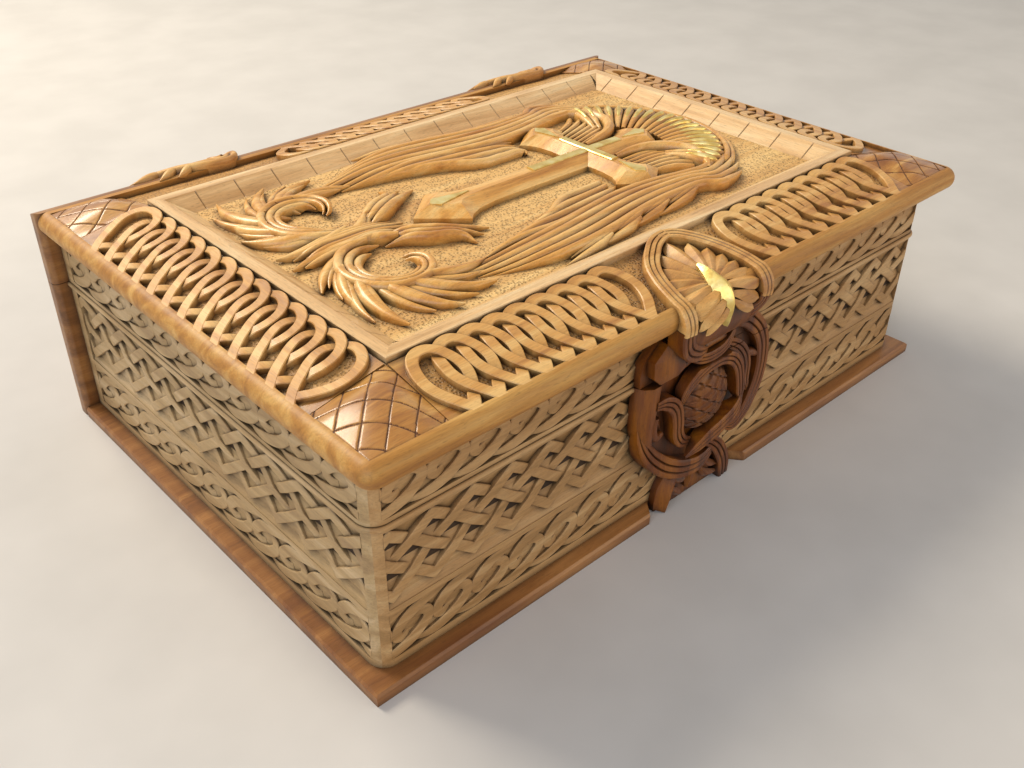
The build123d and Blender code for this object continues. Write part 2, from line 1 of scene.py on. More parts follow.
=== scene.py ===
import bmesh
import bpy
from math import atan2, cos, hypot, pi, radians, sin, sqrt
from mathutils import Matrix, Vector


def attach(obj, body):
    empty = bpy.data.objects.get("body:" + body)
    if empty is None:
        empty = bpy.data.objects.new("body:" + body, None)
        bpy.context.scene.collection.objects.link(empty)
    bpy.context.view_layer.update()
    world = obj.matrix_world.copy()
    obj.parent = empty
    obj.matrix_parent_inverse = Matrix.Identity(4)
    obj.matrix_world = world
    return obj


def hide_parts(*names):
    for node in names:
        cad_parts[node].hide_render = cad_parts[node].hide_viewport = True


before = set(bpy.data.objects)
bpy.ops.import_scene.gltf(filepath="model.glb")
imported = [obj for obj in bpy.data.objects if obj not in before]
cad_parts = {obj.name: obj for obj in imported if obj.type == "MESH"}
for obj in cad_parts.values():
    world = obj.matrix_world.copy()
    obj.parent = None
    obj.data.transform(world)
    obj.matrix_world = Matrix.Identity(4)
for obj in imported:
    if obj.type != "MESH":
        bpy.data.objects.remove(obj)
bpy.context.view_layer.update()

# A carved, book-shaped casket. Carvings are drawn in millimetres on the surface that carries
# them: u runs along the surface, v up it, and w stands out from its sunk ground.
MM = 0.001
IN_METRES = Matrix.Scale(MM, 4)

# --- sizes of the casket that the carvings have to meet, in millimetres ---
FRONT_Y, BACK_Y, SPINE_BACK_Y = -121.0, 121.0, 135.0
WALL_X = 180.0
CARVING_DEPTH = 3.0
POST = 6.0
POST_LAP = 0.2
CASE_TOP, LID_BOTTOM = 76.2, 76.5
BOARD_TOP, PANEL_TOP, FRAME_TOP = 113.1, 114.2, 120.2
RIM_X, RIM_FRONT, RIM_BACK = 182.0, -128.2, 118.0
FRAME_X, FRAME_FRONT, FRAME_BACK = 148.0, -92.2, 88.0
RELIEF_Y = -2.1
GROUND_OUTER = 110.1
BORDER_RISE = 7.1
FRONT_WIDTH, END_WIDTH, BACK_WIDTH = 36, 34, 30


# --- modelling ---
# Corners of one piece that are closer than this, in millimetres, are the same corner.
DOUBLE = 0.002


def take(*objects):
    for chosen in bpy.context.selected_objects:
        chosen.select_set(False)
    for chosen in objects:
        chosen.select_set(True)
    bpy.context.view_layer.objects.active = objects[0]


def added(name, data):
    thing = bpy.data.objects.new(name, data)
    bpy.context.scene.collection.objects.link(thing)
    return thing


def turn_outwards(shell):
    # reverses any joined run of faces that came out inside out
    left = set(shell.faces)
    while left:
        front, run = [left.pop()], []
        while front:
            face = front.pop()
            run.append(face)
            for edge in face.edges:
                for near in edge.link_faces:
                    if near in left:
                        left.remove(near)
                        front.append(near)
        middle = run[0].calc_center_median()
        held = sum((face.calc_center_median() - middle).dot(face.normal) * face.calc_area()
                   for face in run)
        if held < -1e-9:
            bmesh.ops.reverse_faces(shell, faces=run)


def clean(piece):
    # merges doubled corners, drops slivers and turns every face outwards
    shell = bmesh.new()
    shell.from_mesh(piece.data)
    bmesh.ops.remove_doubles(shell, verts=shell.verts, dist=DOUBLE)
    bmesh.ops.dissolve_degenerate(shell, edges=shell.edges, dist=DOUBLE)
    bmesh.ops.recalc_face_normals(shell, faces=shell.faces)
    turn_outwards(shell)
    shell.to_mesh(piece.data)
    shell.free()
    return piece


def surface(origin, along, out):
    # the matrix that lays a carving, in millimetres, on a surface of the casket, in metres
    u, n = Vector(along).normalized(), Vector(out).normalized()
    v = n.cross(u)
    columns = Matrix((u, v, n)).transposed() * MM
    return Matrix.Translation(Vector(origin) * MM) @ columns.to_4x4()


def done(piece, finish, *replaced, place=IN_METRES, body="lid", slot="stained_wood", angle=38):
    # lays a finished carving on the casket and hands it over
    piece.data.transform(place)
    piece.data.update()
    take(piece)
    bpy.ops.object.shade_smooth_by_angle(angle=radians(angle))
    piece.data.materials.clear()
    piece.data.materials.append(finish)
    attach(piece, body)
    if replaced:
        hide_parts(*replaced)


def carving_knife(name, left, right=None):
    # the cross-section that a strap is swept with: half a width is 1, its top is at 0; the right
    # flank mirrors the left one unless it is given
    data = bpy.data.curves.new(name, "CURVE")
    data.dimensions = "2D"
    spline = data.splines.new("POLY")
    outline = left + (right or [(-across, up) for across, up in reversed(left)])
    spline.points.add(len(outline) - 1)
    for knot, (across, up) in zip(spline.points, outline):
        knot.co = (across, up, 0, 1)
    spline.use_cyclic_u = True
    knife = added(name, data)
    knife.hide_render = True
    return knife


def sweep(name, lines, knife, kind="BEZIER", steps=4):
    # each line is a list of (u, v, height of the top, half width)
    data = bpy.data.curves.new(name, "CURVE")
    data.dimensions = "3D"
    data.twist_mode = "Z_UP"
    data.bevel_mode = "OBJECT"
    data.bevel_object = knife
    data.use_fill_caps = True
    data.resolution_u = steps
    for line in lines:
        spline = data.splines.new(kind)
        knots = spline.bezier_points if kind == "BEZIER" else spline.points
        knots.add(len(line) - 1)
        for knot, (u, v, w, half) in zip(knots, line):
            knot.radius = half
            if kind == "BEZIER":
                knot.co = (u, v, w)
                knot.handle_left_type = knot.handle_right_type = "AUTO"
            else:
                knot.co = (u, v, w, 1)
    take(added(name, data))
    bpy.ops.object.convert(target="MESH")
    return clean(bpy.context.object)


def copy_of(piece, place):
    twin = added(piece.name, piece.data.copy())
    twin.data.transform(place)
    return twin


def discard(piece):
    bpy.data.objects.remove(piece, do_unlink=True)


def joined(name, pieces):
    take(*pieces)
    if len(pieces) > 1:
        bpy.ops.object.join()
    whole = bpy.context.object
    whole.name = name
    return whole


def trim(piece, point, direction):
    # cuts away what lies beyond a plane and closes the cut
    take(piece)
    bpy.ops.object.mode_set(mode="EDIT")
    bpy.ops.mesh.select_all(action="SELECT")
    bpy.ops.mesh.bisect(plane_co=point, plane_no=direction, clear_outer=True, use_fill=True)
    bpy.ops.object.mode_set(mode="OBJECT")
    return piece


HAIR = 0.008


def parted(pieces, cuts):
    # cuts every piece by each plane, a hair further each time, so that no two cut faces touch
    for k, piece in enumerate(pieces, 1):
        for point, out in cuts:
            trim(piece, Vector(point) - Vector(out) * HAIR * k, out)
        clean(piece)
    return pieces


def loft(name, rings):
    # closed shell through rings of equally many (u, v, w) corners
    count = len(rings[0])
    faces = [tuple(range(count)), tuple(range(count * (len(rings) - 1), count * len(rings)))]
    for r in range(len(rings) - 1):
        here, there = count * r, count * (r + 1)
        faces += [(here + k, here + (k + 1) % count, there + (k + 1) % count, there + k)
                  for k in range(count)]
    mesh = bpy.data.meshes.new(name)
    mesh.from_pydata([corner for ring in rings for corner in ring], [], faces)
    return clean(added(name, mesh))


def stack(name, *layers):
    # closed block through flat outlines, each with its height
    return loft(name, [[(u, v, height) for u, v in outline] for outline, height in layers])


def shift(u=0.0, v=0.0, w=0.0):
    return Matrix.Translation((u, v, w))


def stretch(u=1.0, v=1.0, w=1.0):
    return Matrix.Diagonal((u, v, w, 1.0))


# --- finishes ---
def linear(colour):
    # sRGB hex to the linear values that a node takes
    parts = [int(colour[i:i + 2], 16) / 255 for i in (0, 2, 4)]
    return (*(p / 12.92 if p <= 0.04045 else ((p + 0.055) / 1.055) ** 2.4 for p in parts), 1.0)


def node(tree, kind, inputs=None, stops=None, **settings):
    made = tree.nodes.new("ShaderNode" + kind)
    for name, value in settings.items():
        setattr(made, name, value)
    for name, value in (inputs or {}).items():
        if isinstance(value, bpy.types.NodeSocket):
            tree.links.new(value, made.inputs[name])
        else:
            made.inputs[name].default_value = value
    if stops:
        ramp = made.color_ramp
        while len(ramp.elements) < len(stops):
            ramp.elements.new(0.5)
        for element, (place, colour) in zip(ramp.elements, stops):
            element.position = place
            element.color = linear(colour)
    return made


def new_finish(name):
    finish = bpy.data.materials.new(name)
    finish.use_nodes = True
    tree = finish.node_tree
    tree.nodes.clear()
    return finish, tree, node(tree, "TexCoord").outputs["Object"]


def grain_scale(axis, along, across):
    # millimetres of one grain figure along and across the fibres, as a scale per metre
    sizes = [1000 / across] * 3
    sizes["XYZ".index(axis)] = 1000 / along
    return tuple(sizes)


def polished_wood(name, colours, axis, rough, coat, pores=0.22, recess="2A1508",
                  recess_depth=3.5, cuts=0.25, stipple=0.0):
    # Timber cut with gouges, stained and rubbed. The figure runs along the fibres, pores are short
    # dark dashes, painted shade darkens the recesses, and the polish leaves a soft shine on the
    # tops.
    finish, tree, place = new_finish(name)
    broad, fine, short, gouged = (
        node(tree, "Mapping", {"Vector": place, "Scale": grain_scale(axis, *sizes)}).outputs[0]
        for sizes in ((90, 9), (16, 0.7), (3.2, 0.32), (7, 2.4)))
    figure = node(tree, "TexNoise", {"Vector": broad, "Scale": 1.0, "Detail": 5.0,
                                     "Roughness": 0.55, "Distortion": 0.8})
    fibres = node(tree, "TexNoise", {"Vector": fine, "Scale": 1.0, "Detail": 3.0,
                                     "Roughness": 0.6})
    dashes = node(tree, "TexNoise", {"Vector": short, "Scale": 1.0, "Detail": 1.0})
    marks = node(tree, "TexNoise", {"Vector": gouged, "Scale": 1.0, "Detail": 2.0})

    tone = node(tree, "ValToRGB", {"Fac": figure.outputs["Fac"]},
                stops=list(zip((0.28, 0.48, 0.68), colours.split())))
    fibre_shade = node(tree, "MapRange", {"Value": fibres.outputs["Fac"], "From Min": 0.3,
                                          "From Max": 0.7, "To Min": 0.86, "To Max": 1.08})
    pore = node(tree, "MapRange", {"Value": dashes.outputs["Fac"], "From Min": 0.6,
                                   "From Max": 0.7, "To Min": 1.0, "To Max": 1.0 - pores})
    shade = node(tree, "Math", {0: fibre_shade.outputs[0], 1: pore.outputs[0]},
                 operation="MULTIPLY")
    grained = node(tree, "VectorMath", {0: tone.outputs["Color"], "Scale": shade.outputs[0]},
                   operation="SCALE")
    # painted shade: where the ambient occlusion finds the surface hemmed in, the colour is pulled
    # towards a dark shade tone
    open_sky = node(tree, "AmbientOcclusion", {"Distance": recess_depth * MM}, samples=4,
                    only_local=False)
    painted_shade_amount = node(tree, "MapRange", {"Value": open_sky.outputs["AO"], "From Min": 0.3,
                                       "From Max": 0.95, "To Min": 0.9, "To Max": 0.0})
    colour = node(tree, "Mix", {0: painted_shade_amount.outputs[0], 6: grained.outputs[0],
                                7: linear(recess)}, data_type="RGBA").outputs[2]

    hollows = node(tree, "Bump", {"Height": marks.outputs["Fac"], "Strength": cuts,
                                  "Distance": 0.5 * MM})
    fuzz = node(tree, "Bump", {"Height": fibres.outputs["Fac"], "Strength": 0.25,
                               "Distance": 0.12 * MM, "Normal": hollows.outputs[0]})
    normal = node(tree, "Bump", {"Height": pore.outputs[0], "Strength": 0.35,
                                 "Distance": 0.15 * MM, "Normal": fuzz.outputs[0]}).outputs[0]
    if stipple:
        # punched ground, a dot about every 1.3 mm
        dots = node(tree, "TexVoronoi", {"Vector": place, "Scale": 1000 / 1.3, "Randomness": 0.85})
        pits = node(tree, "MapRange", {"Value": dots.outputs["Distance"], "From Min": 0.1,
                                       "From Max": 0.55, "To Min": 0.0, "To Max": 1.0})
        normal = node(tree, "Bump", {"Height": pits.outputs[0], "Strength": stipple,
                                     "Distance": 0.7 * MM, "Normal": normal}).outputs[0]
        # painted shade and highlight: the punch marks are coloured darker and the flats between
        # them a little lighter
        painted_pit_shade = node(tree, "MapRange", {"Value": pits.outputs[0], "To Min": 0.6, "To Max": 1.1})
        colour = node(tree, "VectorMath", {0: colour, "Scale": painted_pit_shade.outputs[0]},
                      operation="SCALE").outputs[0]
    sheen = node(tree, "MapRange", {"Value": fibres.outputs["Fac"], "To Min": rough - 0.06,
                                    "To Max": rough + 0.14})
    shader = node(tree, "BsdfPrincipled", {
        "Base Color": colour, "Roughness": sheen.outputs[0], "Normal": normal, "IOR": 1.5,
        "Coat Weight": coat, "Coat Roughness": 0.22, "Coat IOR": 1.5,
    })
    node(tree, "OutputMaterial", {"Surface": shader.outputs[0]})
    return finish


def gold_leaf():
    # Beaten gold on wood: patchy cover and soft wrinkles.
    finish, tree, place = new_finish("gold_leaf")
    wrinkle = node(tree, "TexNoise", {"Vector": place, "Scale": 1000 / 2.2, "Detail": 4.0})
    patch = node(tree, "TexNoise", {"Vector": place, "Scale": 1000 / 6.0, "Detail": 3.0})
    tone = node(tree, "ValToRGB", {"Fac": patch.outputs["Fac"]},
                stops=[(0.3, "E0B85C"), (0.55, "F6DC8A"), (0.75, "FFF1B4")])
    bump = node(tree, "Bump", {"Height": wrinkle.outputs["Fac"], "Strength": 0.5,
                               "Distance": 0.3 * MM})
    rough = node(tree, "MapRange", {"Value": patch.outputs["Fac"], "To Min": 0.22, "To Max": 0.42})
    shader = node(tree, "BsdfPrincipled", {
        "Base Color": tone.outputs["Color"], "Metallic": 0.8, "Roughness": rough.outputs[0],
        "Normal": bump.outputs[0],
    })
    node(tree, "OutputMaterial", {"Surface": shader.outputs[0]})
    return finish


def aged_brass():
    # Rolled brass, brushed along its length and dulled by handling.
    finish, tree, place = new_finish("aged_brass")
    brushing = node(tree, "Mapping", {"Vector": place, "Scale": grain_scale("X", 12, 0.25)})
    lines = node(tree, "TexNoise", {"Vector": brushing.outputs[0], "Scale": 1.0, "Detail": 2.0})
    stain = node(tree, "TexNoise", {"Vector": place, "Scale": 1000 / 7.0, "Detail": 4.0})
    tone = node(tree, "ValToRGB", {"Fac": stain.outputs["Fac"]},
                stops=[(0.3, "8E6A2E"), (0.5, "B98F45"), (0.72, "D2AC62")])
    bump = node(tree, "Bump", {"Height": lines.outputs["Fac"], "Strength": 0.15,
                               "Distance": 0.05 * MM})
    rough = node(tree, "MapRange", {"Value": lines.outputs["Fac"], "To Min": 0.25, "To Max": 0.45})
    shader = node(tree, "BsdfPrincipled", {
        "Base Color": tone.outputs["Color"], "Metallic": 1.0, "Roughness": rough.outputs[0],
        "Normal": bump.outputs[0],
    })
    node(tree, "OutputMaterial", {"Surface": shader.outputs[0]})
    return finish


def wool_baize():
    # Napped woollen cloth: short matted fibres that soften the light at grazing angles.
    finish, tree, place = new_finish("wool_baize")
    nap = node(tree, "TexNoise", {"Vector": place, "Scale": 1000 / 0.9, "Detail": 4.0})
    cloud = node(tree, "TexNoise", {"Vector": place, "Scale": 1000 / 18.0, "Detail": 3.0})
    both = node(tree, "Math", {0: nap.outputs["Fac"], 1: cloud.outputs["Fac"]}, operation="ADD")
    mottle = node(tree, "Math", {0: both.outputs[0], 1: 0.5}, operation="MULTIPLY")
    tone = node(tree, "ValToRGB", {"Fac": mottle.outputs[0]},
                stops=[(0.35, "3E0C10"), (0.5, "5E151A"), (0.65, "7A2226")])
    bump = node(tree, "Bump", {"Height": nap.outputs["Fac"], "Strength": 0.6,
                               "Distance": 0.4 * MM})
    shader = node(tree, "BsdfPrincipled", {
        "Base Color": tone.outputs["Color"], "Roughness": 0.95, "Normal": bump.outputs[0],
        "Sheen Weight": 0.35, "Sheen Roughness": 0.4, "IOR": 1.45,
    })
    node(tree, "OutputMaterial", {"Surface": shader.outputs[0]})
    return finish


def both_ways(name, colours, rough, coat, **more):
    # the same wood with its grain along X and along Y
    return [polished_wood(name + "_" + way, colours, axis, rough, coat, **more)
            for way, axis in (("along", "X"), ("across", "Y"))]


WAXED = {"pores": 0.2, "recess": "1E140A", "recess_depth": 3.2, "cuts": 0.35}

rim_wood = polished_wood("rubbed_board_walnut", "9A6326 BE863C D8A85C", "X", 0.5, 0.05)
# painted highlight: the frame's tones are paler than the cover's walnut to carry the shine of its
# polish
frame_wood_x, frame_wood_y = both_ways("scraped_frame_walnut", "C89A60 E8BE84 F8DAA6", 0.36, 0.3,
                                       pores=0.25)
lid_wood_x, lid_wood_y = both_ways("stained_walnut", "B0763A D8A055 EEC27A", 0.42, 0.2)
boss_wood = polished_wood("high_polish_corner_wood", "8F5620 B67B33 D9A558", "X", 0.3, 0.5,
                          cuts=0.12)
relief_wood = polished_wood("gouge_cut_relief", "BE7C2E E8AC54 FAD084", "X", 0.34, 0.4,
                            pores=0.25, recess_depth=5)
spine_wood = polished_wood("dark_spine_walnut", "6B4320 8C5C2E A9773F", "X", 0.42, 0.2)
# the scored net lines on the corner bosses are coloured darker than the boss
scored_line = polished_wood("stain_filled_score", "54300F 683D17 784A20", "X", 0.6, 0.0)
lid_ground = polished_wood("punched_walnut_ground", "C69658 DBB06E EBC583", "X", 0.55, 0.05,
                           pores=0.0, stipple=0.8, recess_depth=4)
border_ground = polished_wood("punched_border_ground", "A27238 C0904E DAAE6C", "X", 0.5, 0.1,
                              pores=0.08, stipple=0.8, recess_depth=5)
base_wood = polished_wood("oiled_base_walnut", "7A4A26 9A6634 B58048", "X", 0.45, 0.15)
# painted shade: the clasp is the cover's walnut with its tones darkened as if in shadow
shade_dark_clasp_wood = polished_wood("dark_polished_clasp", "502602 743B04 98590A", "Z", 0.42, 0.05,
                           pores=0.3, recess="120703", recess_depth=5)
# painted shade: the front wall is the ends' pale walnut made darker and browner
front_shaded_wood = polished_wood("waxed_pale_walnut_front", "9C7747 B68C58 CFAA76", "X", 0.55, 0.05,
                           **WAXED)
end_wood = polished_wood("waxed_pale_walnut_ends", "A3835A BC9C6C D3B68A", "Y", 0.55, 0.05,
                         **WAXED)
# painted shade: a near-black wood for the plate that shows at the top of each opening of the plait
pocket_shade_wood = polished_wood("stain_dark_pocket_floor", "2C1F11 3B2A18 4A3620", "X", 0.7, 0.0)
inner_wood = polished_wood("planed_inner_wood", "8A6238 A37A4B B98F60", "X", 0.6, 0.0, cuts=0.1)
gold = gold_leaf()
brass = aged_brass()
baize = wool_baize()

# The first of these words that a node's name holds says what the piece is finished with.
NODE_FINISHES = (
    ("gild", gold), ("gilt", gold), ("hinge", brass), ("lining", baize),
    ("spine_ornament", lid_wood_x), ("spine", spine_wood), ("top_board", rim_wood),
    ("base_board", base_wood), ("cover_panel", lid_ground), ("border", border_ground),
    ("clasp_ground", border_ground), ("medallion", shade_dark_clasp_wood), ("lattice_boss", shade_dark_clasp_wood),
    ("foot_leaves", shade_dark_clasp_wood), ("floor", inner_wood), ("back_wall", inner_wood),
    ("front_wall", front_shaded_wood), ("bead_front", front_shaded_wood), ("wall", end_wood),
    ("bead", end_wood), ("left_frame", lid_wood_y), ("right_frame", lid_wood_y),
    ("", lid_wood_x),
)
for name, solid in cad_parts.items():
    solid.data.materials.clear()
    solid.data.materials.append(next(wood for word, wood in NODE_FINISHES if word in name))

# --- the surfaces that carry the carvings ---
front_slope = surface((0, RIM_FRONT, GROUND_OUTER), (1, 0, 0), (0, -BORDER_RISE, FRONT_WIDTH))
back_slope = surface((0, RIM_BACK, GROUND_OUTER), (-1, 0, 0), (0, BORDER_RISE, BACK_WIDTH))
left_slope = surface((-RIM_X, 0, GROUND_OUTER), (0, -1, 0), (-BORDER_RISE, 0, END_WIDTH))
right_slope = surface((RIM_X, 0, GROUND_OUTER), (0, 1, 0), (BORDER_RISE, 0, END_WIDTH))
front_wall = surface((0, FRONT_Y + CARVING_DEPTH, 0), (1, 0, 0), (0, -1, 0))
left_wall = surface((-WALL_X + CARVING_DEPTH, 0, 0), (0, -1, 0), (-1, 0, 0))
right_wall = surface((WALL_X - CARVING_DEPTH, 0, 0), (0, 1, 0), (1, 0, 0))
panel = surface((0, 0, PANEL_TOP), (1, 0, 0), (0, 0, 1))

flat_knife = carving_knife("flat_knife", [(-1, -1.9), (-1, -0.14), (-0.84, 0)])
round_knife = carving_knife("round_knife", [
    (-1, -3.2), (-1, -0.8), (-0.75, -0.32), (-0.3, 0)])
leaf_knife = carving_knife("leaf_knife", [(-1, -3.2), (-1, -0.75), (-0.5, -0.4), (0.05, 0)],
                           [(0.2, -0.02), (0.6, -0.55), (1, -0.95), (1, -3.2)])
strip_knife = carving_knife("strip_knife", [(-1, -0.5), (-1, -0.16), (-0.8, 0)])
petal_knife = carving_knife("petal_knife", [(-1, -1.6), (-1, -0.62), (-0.2, 0)],
                            [(0, -0.04), (1, -0.55), (1, -1.6)])
core_knife = carving_knife("core_knife", [(-1, -0.19), (-1, -0.03), (-0.96, 0)])
grooved_knife = carving_knife("grooved_knife", [
    (-1, -2.0), (-1, -0.16), (-0.84, 0), (-0.46, 0), (-0.33, -0.2), (-0.2, 0)])

# --- looped borders of the cover ---
# Each loop is a leaning drop: (u, v, drop under the loop before, drop under the loop after).
FRONT_LOOP = [
    (1.6, -1.4, 0, 0), (-0.6, 2.6, 0, 0), (-3.2, 7.2, 0, 0), (-5.8, 12.8, 0, 0),
    (-6.9, 18.2, 0, 0), (-6.5, 23.0, 0, 0), (-5.6, 26.4, 0.5, 0), (-4.2, 29.6, 1.6, 0),
    (-1.6, 32.6, 1.1, 0),
    (3.0, 34.0, 0, 0), (7.6, 31.8, 0, 0), (10.3, 26.5, 0, 0), (11.1, 20.5, 0, 0),
    (10.6, 16.8, 0, 0.15), (9.0, 12.6, 0, 1.1), (6.9, 9.0, 0, 1.9), (4.6, 6.2, 0, 0.9),
    (2.4, 3.4, 0, 0.15), (0.9, 1.2, 0, 0.15),
]
END_LOOP = [
    (1.4, -1.4, 0, 0), (-2.0, 1.9, 0, 0), (-5.6, 6.0, 0, 0), (-9.8, 12.4, 0, 0),
    (-12.8, 17.7, 0, 0), (-14.0, 22.4, 0, 0), (-13.7, 25.8, 0.4, 0), (-12.6, 28.8, 1.6, 0),
    (-9.5, 31.4, 1.0, 0),
    (-5.3, 32.4, 0, 0), (-0.7, 31.6, 0, 0), (3.4, 28.6, 0, 0), (6.0, 23.4, 0, 0),
    (6.5, 17.6, 0, 0), (5.4, 13.4, 0, 0.5), (3.9, 10.2, 0, 1.9), (2.2, 7.2, 0, 1.0),
    (0.2, 4.4, 0, 0.2), (-1.2, 2.2, 0, 0.15),
]
LOOP_TOP = 3.05
LAST_DROP = 0.12
LOOP_FOOT = -0.4


def looped_border(name, place, first_foot, pitch, count, finish, shape, half, high=1.0):
    loops = []
    for first, last, start, stop in (
        (True, False, 0, 1), (False, False, 1, count - 1), (False, True, count - 1, count),
    ):
        line = []
        for u, v, before, after in shape:
            lower = (0 if first else before) + (LAST_DROP * (after > 0) if last else after)
            line.append((u, v, LOOP_TOP - lower, half))
        model = sweep(name + "_model", [line], flat_knife)
        loops += [copy_of(model, shift(first_foot + pitch * k) @ stretch(1, high))
                  for k in range(start, stop)]
        discard(model)
    run = trim(joined(name, loops), (0, LOOP_FOOT, 0), (0, -1, 0))
    done(clean(run), finish, place=place, angle=40)


for name, *border in (
    ("front_left_loops", front_slope, -138.0, 11.4, 9, lid_wood_x, FRONT_LOOP, 2.4),
    ("front_right_loops", front_slope, 34.4, 12.3, 9, lid_wood_x, FRONT_LOOP, 2.4),
    ("left_loops", left_slope, -70.3, 12.8, 13, lid_wood_y, END_LOOP, 2.2),
    ("right_loops", right_slope, -74.0, 12.8, 13, lid_wood_y, END_LOOP, 2.2),
    ("back_loops", back_slope, -60.0, 11.6, 11, lid_wood_x, FRONT_LOOP, 2.4, 0.81),
):
    looped_border(name, *border)

# --- carved walls ---
STRAP_HALF = 2.35
WALL_TOP = 2.9
WALL_UNDER = 1.3
PEAK_V = 69.7
VALLEY_V = 40.3


def plait_wave(start, pitch, count):
    # one zigzag strap of the four that are plaited; it turns every second pitch
    turn = 1 / cos(atan2(PEAK_V - VALLEY_V, 2 * pitch))
    line = []
    rising = True
    u = start
    for _ in range(count):
        low, high = (VALLEY_V, PEAK_V) if rising else (PEAK_V, VALLEY_V)
        weave = [WALL_TOP, WALL_UNDER, WALL_TOP] if rising else [WALL_UNDER, WALL_TOP, WALL_UNDER]
        line.append((u, low, WALL_TOP, STRAP_HALF * turn))
        for share, top in zip((0.25, 0.5, 0.75), weave):
            line.append((u + share * 2 * pitch, low + share * (high - low), top, STRAP_HALF))
        u += 2 * pitch
        rising = not rising
    line.append((u, VALLEY_V if rising else PEAK_V, WALL_TOP, STRAP_HALF * turn))
    return line


# Rows (share of the height, share of the width, height) of the facet that fills an opening.
OPENING = [(0.004, 0.008, 1.6), (0.2, 0.4, 1.6), (0.45, 0.9, 0.14), (0.5, 1.0, -0.4),
           (0.996, 0.008, -1.0)]
HOLLOW_FLOOR = -1.5
BAND_LOW, BAND_HIGH = 34.8, 72.8


def facet(name, pitch, low_v, high_v, rows):
    # a tapering block in one opening of the plait, its top falling from row to row
    rings = []
    for up, wide, top in rows:
        v, half = low_v + up * (high_v - low_v), wide * pitch / 2
        rings.append([(-half, v, HOLLOW_FLOOR), (half, v, HOLLOW_FLOOR), (half, v, top),
                      (-half, v, top)])
    return loft(name, rings)


EDGE_TIP = (0.0, 0.01, 0.1)
# The sunk floor behind the plait stops this far short of its peaks and valleys.
POCKET_INSET = 1.5
POCKET_LOW, POCKET_HIGH = -0.6, 0.14


# a flat plate behind the plait, coloured dark so that the top of each opening reads as painted
# shade
def pocket_floor(name, place, low_u, high_u):
    low, high = VALLEY_V + POCKET_INSET, PEAK_V - POCKET_INSET
    corners = [(low_u, low), (high_u, low), (high_u, high), (low_u, high)]
    floor = stack(name, (corners, POCKET_LOW), (corners, POCKET_HIGH))
    done(floor, pocket_shade_wood, place=place, body="case", slot="pale_wood", angle=32)


def between(low_u, high_u):
    # the two cuts that end a run of carving
    return [((low_u, 0, 0), (-1, 0, 0)), ((high_u, 0, 0), (1, 0, 0))]


def plait(name, place, finish, pitch, peak, low_u, high_u):
    # four straps that start well outside the run, and facets in the openings between them
    first = peak - pitch * (int((peak - low_u) / pitch) + 5)
    span_u = high_u - first + 4 * pitch
    waves = [plait_wave(first + k * pitch, pitch, int(span_u / (2 * pitch)) + 1)
             for k in range(4)]
    cut = [sweep(name + "_wave", [wave], flat_knife, kind="POLY") for wave in waves]
    quarter = (PEAK_V - VALLEY_V) / 4
    edge = quarter / (BAND_HIGH - PEAK_V + quarter)
    whole = []
    for low_v, high_v, rows, offset in (
        (PEAK_V - 2 * quarter, PEAK_V, OPENING, 0.0),
        (VALLEY_V + quarter, PEAK_V - quarter, OPENING, 0.5),
        (VALLEY_V, VALLEY_V + 2 * quarter, OPENING, 0.0),
        (PEAK_V - quarter, BAND_HIGH, [EDGE_TIP, (edge, 1.0, 0.9), (1.0, 1.0, 2.7)], 0.5),
        (VALLEY_V + quarter, BAND_LOW, [EDGE_TIP, (edge, 1.0, 0.5), (1.0, 1.0, 2.75)], 0.5),
    ):
        model = facet(name + "_facet", pitch, low_v, high_v, rows)
        u = peak + offset * pitch - pitch * int((peak - low_u) / pitch + 1)
        while u < high_u + pitch / 2:
            if u > low_u - pitch / 2:
                inside = low_u + pitch / 2 < u < high_u - pitch / 2
                (whole if inside else cut).append(copy_of(model, shift(u)))
            u += pitch
        discard(model)
    pocket_floor(name + "_pockets", place, low_u, high_u)
    run = joined(name, parted(cut, between(low_u, high_u)) + whole)
    done(run, finish, place=place, body="case", slot="pale_wood", angle=25)


CHAIN_REACH = 11.2
BED_LOW, BED_HIGH = -0.8, 1.5
# from a peak of the plait to the middle of a link under it
CHAIN_OFFSET = 8.2
# The lower hook of one link; the upper one is the same, turned half way round.
CHAIN_HOOK = [
    (-18.0, -9.7, 1.7, 0.9), (-14.5, -9.9, 2.3, 1.6), (-10.0, -9.6, 2.8, 2.3),
    (-4.5, -8.4, WALL_TOP, 2.7), (1.0, -6.3, WALL_TOP, 2.8), (5.4, -3.1, WALL_TOP, 2.7),
    (7.8, 0.3, WALL_TOP, 2.6), (6.8, 3.0, 2.6, 2.4), (4.0, 3.9, 2.2, 2.2), (1.6, 3.2, 1.6, 2.0),
]
FRONT_PITCH, END_PITCH = 19.65, 20.73
FRONT_RUN = (front_wall, front_shaded_wood, FRONT_PITCH, -152.2)
LEFT_RUN = (left_wall, end_wood, END_PITCH, -90.2)
RIGHT_RUN = (right_wall, end_wood, END_PITCH, -89.0)
# body, height of the chain's middle, share of its full height
CASE_BAND = ("case", 21.0, 1.0)
LID_BAND = ("lid", 89.4, 0.95)


